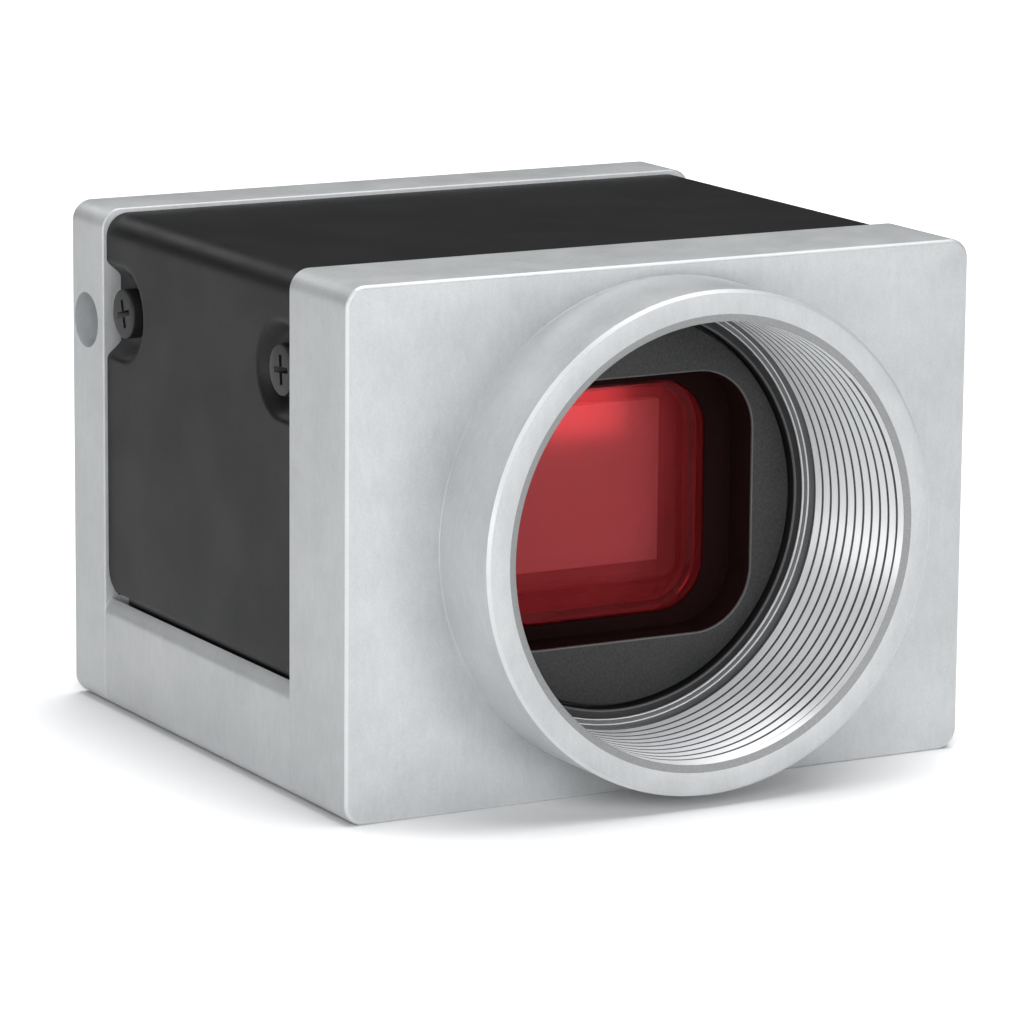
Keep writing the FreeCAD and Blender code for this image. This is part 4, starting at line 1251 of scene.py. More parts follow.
    def plate_holes(self) -> List[Piece]:
        """The shapes of the rear plate's side bores, openings and screw holes.

        Returns:
            One closed shape for each hole.
        """
        near, past = PLATE_FRONT_Y - self.reach_in, self.past
        tools = []
        for side in Side:
            ends = [(side.value * x, self.side_bore_y, self.side_bore_z) for x in (self.side_bore_x, past)]
            tools.append(rod("side_bore", self.side_bore_r, *ends))
        ends = ((0.0, near, ROUND_Z), (0.0, past, ROUND_Z))
        tools.append(rod("round_hole", self.round_hole_r, *ends, self.round_sides))
        x, z = self.light_at
        tools.append(rod("light_hole", self.light_r, (x, near, z), (x, past, z), self.hole_sides))
        angles = outline_angles(self.data_hole, *self.data_steps)
        loops = [rounded(self.data_hole, 0.0, y, angles, DATA_Z) for y in (near, past)]
        tools.append(bridge("data_hole", loops, closed=False, capped=True))
        sink = (
            (self.screw_hole_r, near),
            (self.screw_hole_r, REAR_Y - self.screw_sink_depth),
            (self.screw_sink_r, REAR_Y),
            (self.screw_sink_r, past),
        )
        angles = outline_angles(self.screw_sink_form, self.per_corner, 1)
        for x in (-PLATE_SCREW_X, PLATE_SCREW_X):
            ends = ((x, self.lock_end_y, DATA_Z), (x, past, DATA_Z))
            tools.append(rod("lock_hole", self.lock_r, *ends, self.hole_sides))
            loops = [circle(r, y, angles, x, PLATE_SCREW_Z) for r, y in sink]
            tools.append(bridge("sunk_hole", loops, closed=False, capped=True))
        return tools

    def rear_plate(self, palette: Palette) -> None:
        """The rear plate with its connector openings, screw holes and side bores.

        Args:
            palette: The finishes.
        """
        loops = list(reversed(self.edge_arc(PLATE_FRONT_Y, 1.0, self.seam)))
        loops += self.edge_arc(REAR_Y, -1.0, self.edge)
        piece = bridge("rear_plate_body", loops, closed=False, capped=True)
        cut(piece, self.plate_holes())
        soften(piece, self.plate_soft, self.plate_soft_angle)
        smooth(piece)
        dress(piece, palette["satin_aluminium"], ["rear_plate"])

    def rear_plate_inside(self, palette: Palette) -> None:
        """The lip, ears and pillars on the front of the rear plate.

        Args:
            palette: The finishes.
        """
        rear_y = PLATE_FRONT_Y + self.lip_overlap
        ear_low, ear_high = SEAT_Z - self.ear_half_height, SEAT_Z + self.ear_half_height
        mesh = bmesh.new()
        for side in Side:
            ear_x, lip_x = side.value * self.ear_inner_x, side.value * self.rib_inner_x
            side_x = side.value * self.frame_half_x
            add_block(mesh, (ear_x, side_x), (self.ear_front_y, rear_y), (ear_low, ear_high))
            add_block(mesh, (lip_x, side_x), (self.lip_front_y, rear_y), (self.lip_low_z, ear_low))
        across = (-self.frame_half_x, self.frame_half_x)
        add_block(mesh, across, (self.lip_front_y, rear_y), (self.lip_roof_z, self.frame_top_z))
        piece = to_object("rear_plate_lip", mesh)
        for side in Side:
            ends = (self.seat_front_y, rear_y + self.tool_overlap)
            cut(piece, [extruded("seat_room", self.seat_span(side), *ends)])
        soften(piece, self.lip_soft)
        smooth(piece)
        dress(piece, palette["satin_aluminium"], ["rear_plate"])
        y = PLATE_FRONT_Y - self.pillar_height
        spots = [Spot((x, y, z)) for x in (-self.pillar_x, self.pillar_x) for z in self.pillar_zs]
        ends = ((0.0, 0.0, 0.0), (0.0, 0.0, self.pillar_height))
        model = rod("pillar_model", self.pillar_r, *ends, self.pillar_sides)
        satin = palette["satin_aluminium"]
        scatter("rear_plate_pillars", model, spots, satin, "rear_plate")


@dataclass
class LensMount:
    """The front plate with the mount ring and the internal thread, in millimetres."""

    ring_r: float = 14.25
    ring_edge: float = 0.25
    edge_start: float = 1.15
    edge_shoulder: float = 0.8
    ring_foot: float = 0.14
    ring_foot_turn: float = 0.04
    mouth_r: float = 12.86
    crest_r: float = 12.45
    root_r: float = 12.7
    mouth_chamfer: float = 0.1
    thread_start: float = 0.74
    thread_end: float = 9.46
    relief_end: float = 10.0
    step_r: float = 12.32
    step_end: float = 10.12
    seat_depth: float = 12.0
    seat_r: float = 12.05
    holder_bore_r: float = 11.6
    holder_bore_depth: float = 12.3
    fine: float = 0.02
    soft: float = 0.03
    rear_break: float = 0.06
    groove_gap: float = 0.1
    # Rows of the front edge chamfer and the ring's outer chamfer, which take the lighter edge copy as a
    # painted highlight.
    painted_highlight_rows: Tuple[int, ...] = (3, 4, 5, 12)
    deep_ridge: float = 9.981
    turns: float = 10.88
    turn_steps: int = 180
    pitch: float = 0.871
    crest_gap: float = 0.01
    crest_width: float = 0.66
    foot_width: float = 0.80

    def profile(self) -> List[Pair]:
        """Radius and depth from the ring's outer edge, over its face and down the bore.

        Returns:
            The (radius, depth) pairs.
        """
        ring, fine, soft = self.ring_r, self.fine, self.soft
        start, shoulder = self.ring_edge * self.edge_start, self.ring_edge * self.edge_shoulder
        return [
            (ring, start),
            (ring - fine, shoulder),
            (ring - shoulder, fine),
            (ring - start, 0.0),
            (self.mouth_r + fine, 0.0),
            (self.mouth_r - fine, fine / 2),
            (self.crest_r + soft, self.mouth_chamfer - fine / 2),
            (self.crest_r, self.mouth_chamfer + fine),
            (self.crest_r, self.thread_start - fine),
            (self.crest_r + fine, self.thread_start),
            (self.root_r, self.thread_start + 2 * soft),
            (self.root_r, self.relief_end),
            (self.step_r + soft, self.relief_end),
            (self.step_r, self.relief_end + soft),
            (self.step_r, self.step_end),
            (self.seat_r + soft, self.step_end),
            (self.seat_r, self.step_end + soft),
            (self.seat_r, self.seat_depth),
            (self.holder_bore_r, self.seat_depth),
        ]

    def bore_finish(self, face: bpy.types.MeshPolygon) -> Optional[str]:
        """Which finish a face of the bore takes.

        Args:
            face: A face of the front plate.

        Returns:
            The finish's name, or None for a face outside the bore.
        """
        depth = face.center.y / MM - FLANGE_Y
        radius = math.hypot(face.center.x, face.center.z - AXIS_Z * MM) / MM
        if radius > self.mouth_r + self.fine / 2 or depth > self.holder_bore_depth:
            return None
        # The mouth chamfer, the deep shoulders and the thread's roots take darker copies of the aluminium as
        # painted shade.
        if depth < self.mouth_chamfer + self.fine / 2:
            return "mouth_band"
        if abs(face.normal.y) > FACING and depth > self.relief_end - self.fine:
            return "relief_face"
        if radius > self.crest_r + self.groove_gap and depth < self.relief_end - self.fine:
            return "thread_groove"
        return "turned_aluminium"

    def front_plate(self, palette: Palette, housing: Housing) -> None:
        """The front plate and ring as one closed shell.

        Args:
            palette: The finishes.
            housing: The housing, for the plate's outline.
        """
        angles = housing.angles()
        loops = [housing.outline(self.rear_break, BLOCK_REAR_Y)]
        loops += [housing.outline(0.0, BLOCK_REAR_Y - self.rear_break)]
        loops += housing.edge_arc(FACE_Y, 1.0, housing.edge)
        foot = ((self.ring_foot, 0.0), (self.ring_foot_turn, self.soft), (0.0, -self.soft))
        loops += [circle(self.ring_r + out, FACE_Y + deep, angles) for out, deep in foot]
        loops += [circle(radius, FLANGE_Y + depth, angles) for radius, depth in self.profile()]
        loops += [circle(self.holder_bore_r, BLOCK_REAR_Y, angles)]
        piece = bridge("front_plate", loops)
        smooth(piece, SHARP_PLATE)
        dress(piece, palette["satin_aluminium"], ["front_block"])
        # The darker bore finishes paint shade into the mouth chamfer, grooves and deep shoulders.
        names = ["satin_aluminium", "turned_aluminium", "thread_groove", "relief_face", "mouth_band"]
        for name in names[1:]:
            piece.data.materials.append(palette[name])
        # The chamfer rows take a painted highlight.
        paint_rows(piece, palette["satin_edge"], self.painted_highlight_rows, len(angles))
        for face in piece.data.polygons:
            finish = self.bore_finish(face)
            if finish is not None:
                face.material_index = names.index(finish)

    def ridge(self, growth: Growth) -> Socket:
        """The thread's ridge as a trapezium swept along a helix about Z.

        Args:
            growth: The tree that it grows in.

        Returns:
            The socket of its mesh.
        """
        rise = (self.root_r - self.crest_r - self.crest_gap) * MM
        pitch = growth.size("Pitch", self.pitch * MM)
        root = growth.size("Root Radius", self.root_r * MM)
        crest = growth.size("Crest Width", self.crest_width * MM)
        height = growth.size("Ridge Height", rise)
        turns = growth.size("Turns", self.turns)
        foot = growth.size("Foot Width", self.foot_width * MM)
        length = growth.add("ShaderNodeMath", {0: turns, 1: pitch}, {"operation": "MULTIPLY"}).outputs[0]
        path = {
            "Resolution": self.turn_steps,
            "Rotations": turns,
            "Start Radius": root,
            "End Radius": root,
            "Height": length,
        }
        helix = growth.add("GeometryNodeCurveSpiral", path)
        upright = growth.add("GeometryNodeSetCurveNormal", {0: helix.outputs[0]}, {"mode": "Z_UP"})
        form = {"Bottom Width": foot, "Top Width": crest, "Offset": 0.0, "Height": height}
        section = growth.add("GeometryNodeCurvePrimitiveQuadrilateral", form, {"mode": "TRAPEZOID"})
        lifted = growth.move(section.outputs[0], (0.0, rise / 2, 0.0), (0.0, 0.0, 0.0))
        turned_in = growth.move(lifted, (0.0, 0.0, 0.0), (0.0, 0.0, math.radians(-90.0)))
        sweep = {"Curve": upright.outputs[0], "Profile Curve": turned_in, "Fill Caps": True}
        return growth.add("GeometryNodeCurveToMesh", sweep).outputs[0]

    def thread(self, palette: Palette) -> None:
        """The helical ridge of the internal thread.

        Args:
            palette: The finishes.
        """
        growth = Growth("lens_thread")
        deep_end = (0.0, (FLANGE_Y + self.deep_ridge) * MM, AXIS_Z * MM)
        laid = growth.move(self.ridge(growth), deep_end, (math.radians(90.0), 0.0, 0.0))
        piece = growth.grow(laid, palette["turned_aluminium"])
        self.end_thread(piece)
        smooth(piece, SHARP_ROUND)
        dress(piece, palette["turned_aluminium"])
        # The crests keep the turned finish; the flanks and ends take the dark groove copy as painted shade.
        piece.data.materials.append(palette["thread_groove"])
        for face in piece.data.polygons:
            outward = Vector((face.center.x, 0.0, face.center.z - AXIS_Z * MM)).normalized()
            face.material_index = 0 if abs(face.normal.dot(outward)) > FACING else 1

    def end_thread(self, piece: Piece) -> None:
        """Cuts the ridge off flat where the relief groove begins.

        Args:
            piece: The ridge.
        """
        mesh = bmesh.new()
        mesh.from_mesh(piece.data)
        spot = Vector((0.0, (FLANGE_Y + self.thread_end) * MM, 0.0))
        parts = mesh.verts[:] + mesh.edges[:] + mesh.faces[:]
        found = bmesh.ops.bisect_plane(mesh, geom=parts, plane_co=spot, plane_no=REARWARD, clear_outer=True)
        rim = [item for item in found["geom_cut"] if isinstance(item, bmesh.types.BMEdge)]
        bmesh.ops.edgenet_fill(mesh, edges=rim)
        mesh.to_mesh(piece.data)
        mesh.free()


@dataclass
class FilterStack:
    """What is seen down the mount: clamping ring, holder, filter and sensor, in millimetres."""

    ring_face: float = 10.2
    ring_bore_r: float = 11.5
    # Edge rows of the clamping ring that take the lighter black copy as a painted highlight.
    ring_painted_highlight_rows: Tuple[int, ...] = (3, 4)
    seat_r: float = 12.02
    seat_depth: float = 12.0
    holder_face: float = 10.55
    holder_face_r: float = 11.3
    flange_t: float = 0.8
    body_r: float = 11.57
    holder_rear: float = 14.6
    window: Triple = (17.5, 15.2, 3.6)
    # Edge rows of the holder with a painted highlight, and rows of its window and filter pocket with painted
    # shade.
    holder_painted_highlight_rows: Tuple[int, ...] = (4, 7, 8)
    well_rows: Tuple[int, ...] = (9, 10, 11, 12)
    filter_depth: float = 13.0
    filter_size: Triple = (14.1, 13.6, 3.0)
    filter_t: float = 1.0
    filter_fit: float = 0.03
    filter_edge: Pair = (0.12, 0.08)
    ledge: float = 0.5
    sensor_depth: float = 17.526
    chip: Triple = (13.3, 9.6, LEAST_RADIUS)
    chip_t: float = 0.6
    rim_inset: float = 0.30
    rim_width: float = 0.06
    rim_height: float = 0.012
    wide: float = 0.10
    soft: float = 0.05
    fine: float = 0.02
    rim_turn: float = 0.03
    mouth_turn: float = 0.04
    sides: int = 256
    window_steps: Tuple[int, int] = (24, 18)
    chip_steps: Tuple[int, int] = (2, 12)

    def window_angles(self, size: Triple) -> np.ndarray:
        """Bearings for a rounded window or glass."""
        return outline_angles(size, *self.window_steps)

    def retaining_ring(self, palette: Palette) -> None:
        """The thin black ring, with its broken inner edge.

        Args:
            palette: The finishes.
        """
        angles = full_turn(self.sides)
        rear, face, bore = self.seat_depth - self.flange_t, self.ring_face, self.ring_bore_r
        profile = [
            (self.seat_r, face + self.soft),
            (self.seat_r, rear),
            (bore, rear),
            (bore, face + self.wide),
            (bore + self.soft, face + self.fine),
            (bore + self.wide + self.fine / 2, face),
            (self.seat_r - self.soft, face),
        ]
        loops = [circle(radius, FLANGE_Y + depth, angles) for radius, depth in profile]
        piece = bridge("clamping_ring", loops)
        smooth(piece)
        dress(piece, palette["black_anodised"], ["retaining_ring"])
        # The ring's inner edge takes a painted highlight.
        paint_rows(piece, palette["black_edge"], self.ring_painted_highlight_rows, self.sides)

    def holder(self, palette: Palette) -> None:
        """The holder with its window, one closed shell with the window's wall and the ledge.

        Args:
            palette: The finishes.
        """
        angles = self.window_angles(self.window)
        face, front, rear = self.holder_face, self.filter_depth, self.filter_depth + self.filter_t
        rim = self.holder_face_r
        outside = [
            (self.body_r, self.seat_depth),
            (self.seat_r, self.seat_depth),
            (self.seat_r, self.seat_depth - self.flange_t),
            (rim, self.seat_depth - self.flange_t),
            (rim, face + self.wide),
            (rim - self.rim_turn, face + self.rim_turn),
            (rim - self.wide, face),
        ]
        inside = [
            (self.window, -self.wide, face),
            (self.window, -self.mouth_turn, face + self.fine),
            (self.window, 0.0, face + self.wide),
            (self.window, 0.0, front - self.soft),
            (self.window, self.soft, front),
            (self.filter_size, -self.filter_fit, front),
            (self.filter_size, -self.filter_fit, rear),
            (self.filter_size, self.ledge, rear),
            (self.filter_size, self.ledge, self.holder_rear),
        ]
        loops = [circle(radius, FLANGE_Y + depth, angles) for radius, depth in outside]
        loops += [rounded(size, inset, FLANGE_Y + depth, angles) for size, inset, depth in inside]
        loops += [circle(self.body_r, FLANGE_Y + self.holder_rear, angles)]
        piece = bridge("holder", loops)
        smooth(piece)
        dress(piece, palette["black_plastic"], ["filter_holder"])
        # The window's wall and filter pocket take painted shade, and the holder's edges a painted highlight.
        paint_rows(piece, palette["well_black"], self.well_rows, len(angles))
        paint_rows(piece, palette["black_edge"], self.holder_painted_highlight_rows, len(angles))

    def filter_glass(self, palette: Palette) -> Piece:
        """The coated glass with its ground edge.

        Args:
            palette: The finishes.

        Returns:
            The glass.
        """
        angles = self.window_angles(self.filter_size)
        inset, back = self.filter_edge
        front, rear = self.filter_depth, self.filter_depth + self.filter_t
        steps = ((inset, front), (0.0, front + back), (0.0, rear - back), (inset, rear))
        loops = [rounded(self.filter_size, inward, FLANGE_Y + depth, angles) for inward, depth in steps]
        piece = bridge("filter_glass", loops, closed=False, capped=True)
        smooth(piece, SHARP_FLAT)
        return dress(piece, palette["filter_glass"], ["ir_cut_filter"])

    def sensor(self, palette: Palette) -> Piece:
        """The image sensor's chip with the sunk border of its image area.

        Args:
            palette: The finishes.

        Returns:
            The chip.
        """
        angles = outline_angles(self.chip, *self.chip_steps)
        step = self.fine / 2
        rim_end = self.rim_inset + self.rim_width
        steps = (
            (0.0, self.chip_t),
            (0.0, step),
            (step, 0.0),
            (self.rim_inset, 0.0),
            (self.rim_inset + step, self.rim_height),
            (rim_end, self.rim_height),
            (rim_end + step, 0.0),
        )
        face_y = FLANGE_Y + self.sensor_depth
        loops = [rounded(self.chip, inset, face_y + back, angles) for inset, back in steps]
        piece = bridge("sensor_chip", loops, closed=False, capped=True)
        smooth(piece, SHARP_FLAT)
        return dress(piece, palette["sensor_silicon"], ["sensor_die"])

    def build(self, palette: Palette) -> Tuple[Piece, Piece]:
        """Builds the whole stack.

        Args:
            palette: The finishes.

        Returns:
            The filter's glass and the sensor's chip.
        """
        self.retaining_ring(palette)
        self.holder(palette)
        return self.filter_glass(palette), self.sensor(palette)


@dataclass
class Cover:
    """The folded sheet cover with its four pressed screw seats, in millimetres and degrees."""

    half_x: float = 19.75
    top_z: float = 29.75
    foot_z: float = 7.1
    sheet: float = 0.7
    fold: float = 1.4
    fold_steps: int = 14
    front_y: float = -9.2
    rear_y: float = 15.2
    corner: float = 1.6
    corner_fade: float = 6.0
    floor_r: float = 1.85
    flank: float = 1.1
    depth: float = 0.9
    seat_reach: float = 3.1
    foot_round: float = 0.22
    foot_round_steps: int = 4
    wall_soft: float = 0.07
    wall_soft_angle: float = 60.0
    tongue_low_z: float = 6.15
    tongue_t: float = 0.15
    tongue_overlap: float = 0.05
    near: float = 0.01
    fine: float = 0.13
    coarse: float = 0.7
    foot_step: float = 0.25
    foot_height: float = 1.0
    fold_rows: int = 5
    top_rows: int = 39

    def stations(self, spans: Sequence[Triple]) -> np.ndarray:
        """Places along a line.

        Args:
            spans: The start, end and step of each stretch.

        Returns:
            The places, both ends included.
        """
        counts = [max(int(round((end - start) / step)), 1) for start, end, step in spans]
        runs = [np.linspace(row[0], row[1], count, endpoint=False) for row, count in zip(spans, counts)]
        return np.concatenate(runs + [[spans[-1][1]]])

    def sink(self, y: float, z: float) -> float:
        """How far the side is pressed in.

        Args:
            y: The place along Y.
            z: The place up Z.

        Returns:
            The depth, smooth from the sheet's face to the floor of a seat.
        """
        pressed = 0.0
        for screw_y, toward in ((FRONT_SEAT_Y, -1.0), (REAR_SEAT_Y, 1.0)):
            beyond = max((screw_y - y) * toward, 0.0)
            away = math.hypot(beyond, z - SEAT_Z)
            share = min(max((away - self.floor_r) / self.flank, 0.0), 1.0)
            pressed = max(pressed, 1.0 - share * share * (3.0 - 2.0 * share))
        return self.depth * pressed

    def section(self) -> List[Tuple[float, float, bool]]:
        """The sheet's outer face from one foot over the top to the other.

        Returns:
            Rows of x, z and whether the row lies on a side that is pressed.
        """
        low, high = SEAT_Z - self.seat_reach - self.foot_z, SEAT_Z + self.seat_reach - self.foot_z
        length = self.top_z - self.fold - self.foot_z
        foot = self.foot_height
        spans = ((0.0, foot, self.foot_step), (foot, low, self.coarse), (low, high, self.fine))
        heights = self.stations(spans)[:-1]
        heights = np.concatenate([heights, np.linspace(high, length, self.fold_rows + 1)])
        flat_half = self.half_x - self.fold
        left = [(-self.half_x, self.foot_z + height, True) for height in heights]
        for t in quarter_turn(self.fold_steps)[1:]:
            x = -self.half_x + self.fold * (1 - math.cos(t))
            left.append((x, self.top_z - self.fold * (1 - math.sin(t)), False))
        top = [(x, self.top_z, False) for x in np.linspace(-flat_half, flat_half, self.top_rows + 1)[1:-1]]
        return left + top + [(-x, z, pressed) for x, z, pressed in reversed(left)]

    def pressed_point(self, x: float, y: float, z: float) -> Triple:
        """Where a point of a side goes when its rear corner is rounded and its seats are pressed.

        Args:
            x: The point's place on the flat sheet.
            y: Its place along Y.
            z: Its height.

        Returns:
            Its place on the finished sheet.
        """
        gap = max(y - (self.rear_y - self.corner), 0.0)
        lift = self.corner - math.sqrt(max(self.corner**2 - gap**2, 0.0))
        share = min(max(1.0 - (z - self.foot_z) / self.corner_fade, 0.0), 1.0)
        lifted = z + lift * share
        return (x - math.copysign(self.sink(y, lifted), x), y, lifted)

    def outer_face(self) -> Piece:
        """The sheet's outer face as a grid.

        Returns:
            The grid, facing outwards.
        """
        reach = self.seat_reach
        front, rear = FRONT_SEAT_Y + reach, REAR_SEAT_Y - reach
        fine, coarse = self.fine, self.coarse
        ys = self.stations(((self.front_y, front, fine), (front, rear, coarse), (rear, self.rear_y, fine)))
        mesh = bmesh.new()
        grid = []
        for x, z, pressed in self.section():
            points = [self.pressed_point(x, y, z) if pressed else (x, y, z) for y in ys]
            grid.append([mesh.verts.new(Vector(point) * MM) for point in points])
        for a, b in zip(grid, grid[1:]):
            for i in range(len(a) - 1):
                mesh.faces.new((a[i], a[i + 1], b[i + 1], b[i]))
        bmesh.ops.recalc_face_normals(mesh, faces=mesh.faces)
        piece = to_object("cover_sheet", mesh)
        if max(piece.data.polygons, key=lambda face: face.center.z).normal.z < 0:
            piece.data.flip_normals()
        return piece

    def round_feet(self, piece: Piece) -> None:
        """Rounds the outer lower edge of both sides.

        Args:
            piece: The sheet, with its thickness.
        """
        mesh = bmesh.new()
        mesh.from_mesh(piece.data)
        edges = []
        for edge in mesh.edges:
            low = all(abs(v.co.z / MM - self.foot_z) < self.near for v in edge.verts)
            if low and all(abs(abs(v.co.x) / MM - self.half_x) < self.near for v in edge.verts):
                edges.append(edge)
        form = {"offset": self.foot_round * MM, "segments": self.foot_round_steps, "profile": 0.5}
        bmesh.ops.bevel(mesh, geom=edges, affect="EDGES", **form)
        mesh.to_mesh(piece.data)
        mesh.free()

    def build(self, palette: Palette) -> None:
        """Builds the sheet with its thickness and broken edges.

        Args:
            palette: The finishes.
        """
        piece = self.outer_face()
        change = piece.modifiers.new("wall", "SOLIDIFY")
        change.thickness = self.sheet * MM
        change.offset = -1.0
        settle(piece)
        self.round_feet(piece)
        soften(piece, self.wall_soft, self.wall_soft_angle)
        smooth(piece, SHARP_SHEET)
        dress(piece, palette["cover_paint"], ["cover"])

    def tongues(self, palette: Palette) -> None:
        """The thin stepped foot of each side, which drops into the groove of the bar.

        Args:
            palette: The finishes.
        """
        low, high = self.tongue_low_z, self.foot_z + self.tongue_overlap
        rear_y = self.rear_y - self.corner
        for side in Side:
            inner = side.value * (self.half_x - self.sheet)
            outer = inner + side.value * self.tongue_t
            outline = [(inner, low), (outer, low), (outer, high), (inner, high)]
            piece = extruded(f"cover_foot_{side.name.lower()}", outline, self.front_y, rear_y)
            smooth(piece)
            dress(piece, palette["black_anodised"], ["cover"])


@dataclass
class CrossScrews:
    """Cross-head screws with a rounded rim and a tapered cross, in millimetres and degrees."""

    head_r: float = 1.46
    head_h: float = 0.85
    rim: float = 0.09
    rim_steps: int = 4
    shank_r: float = 0.76
    sunk_shank_r: float = 0.96
    sunk_head_r: float = 1.70
    sunk_depth: float = 0.7
    arm: float = 0.83
    arm_width: float = 0.33
    arm_top: Pair = (1.08, 1.05)
    arm_foot: Pair = (0.55, 0.75)
    depth: float = 0.65
    over: float = 0.08
    length: float = 2.8
    sunk_length: float = 10.0
    twists: Tuple[float, ...] = (5.0, 15.0, 35.0, 80.0)
    sunk_twists: Pair = (20.0, 55.0)
    sides: int = 96

    def cross_arm(self, top: float, turn: float) -> Piece:
        """The shape of one slot of the cross, narrower at its foot.

        Args:
            top: The height of the head's face.
            turn: The slot's turn about the screw, in degrees.

        Returns:
            The closed shape.
        """
        mesh = bmesh.new()
        for vert in bmesh.ops.create_cube(mesh, size=1.0)["verts"]:
            long_share, wide_share = self.arm_top if vert.co.z > 0 else self.arm_foot
            z = top + self.over if vert.co.z > 0 else top - self.depth
            x, y = vert.co.x * 2 * self.arm * long_share, vert.co.y * self.arm_width * wide_share
            vert.co = Vector((x, y, z)) * MM
        bmesh.ops.rotate(mesh, verts=mesh.verts, matrix=Matrix.Rotation(math.radians(turn), 3, "Z"))
        return to_object("cross", mesh)

    def model(self, name: str, head: Head) -> Piece:
        """One screw along +Z with its seat at zero.

        Args:
            name: The model's name.
            head: The form of its head.

        Returns:
            The screw.
        """
        if head is Head.SUNK:
            top = 0.0
            shank = self.sunk_shank_r
            profile = [(shank, -self.sunk_length), (shank, -self.sunk_depth), (self.sunk_head_r, top)]
        else:
            top = self.head_h
            profile = [(self.shank_r, -self.length), (self.shank_r, 0.0), (self.head_r, 0.0)]
            for t in quarter_turn(self.rim_steps):
                back, drop = self.rim * (1 - math.cos(t)), self.rim * (1 - math.sin(t))
                profile.append((self.head_r - back, top - drop))
        piece = turned(name, profile, self.sides)
        cut(piece, [self.cross_arm(top, turn) for turn in (0.0, 90.0)])
        smooth(piece, SHARP_ROUND)
        return piece

    def build(self, palette: Palette, cover: Cover) -> None:
        """The four cover screws and the two rear plate screws.

        Args:
            palette: The finishes.
            cover: The cover, for its seats.
        """
        twists = iter(self.twists)
        spots = []
        for side in Side:
            for y in (FRONT_SEAT_Y, REAR_SEAT_Y):
                point = (side.value * (cover.half_x - cover.depth), y, SEAT_Z)
                spots.append(Spot(point, Vector((side.value, 0.0, 0.0)), next(twists)))
        model = self.model("cover_screw_model", Head.RAISED)
        scatter("cover_screw_set", model, spots, palette["black_screw"], "cover_screws")
        places = zip((-PLATE_SCREW_X, PLATE_SCREW_X), self.sunk_twists)
        spots = [Spot((x, REAR_Y, PLATE_SCREW_Z), REARWARD, twist) for x, twist in places]
        model = self.model("plate_screw_model", Head.SUNK)
        scatter("plate_screw_set", model, spots, palette["black_screw"], "rear_plate_screws")


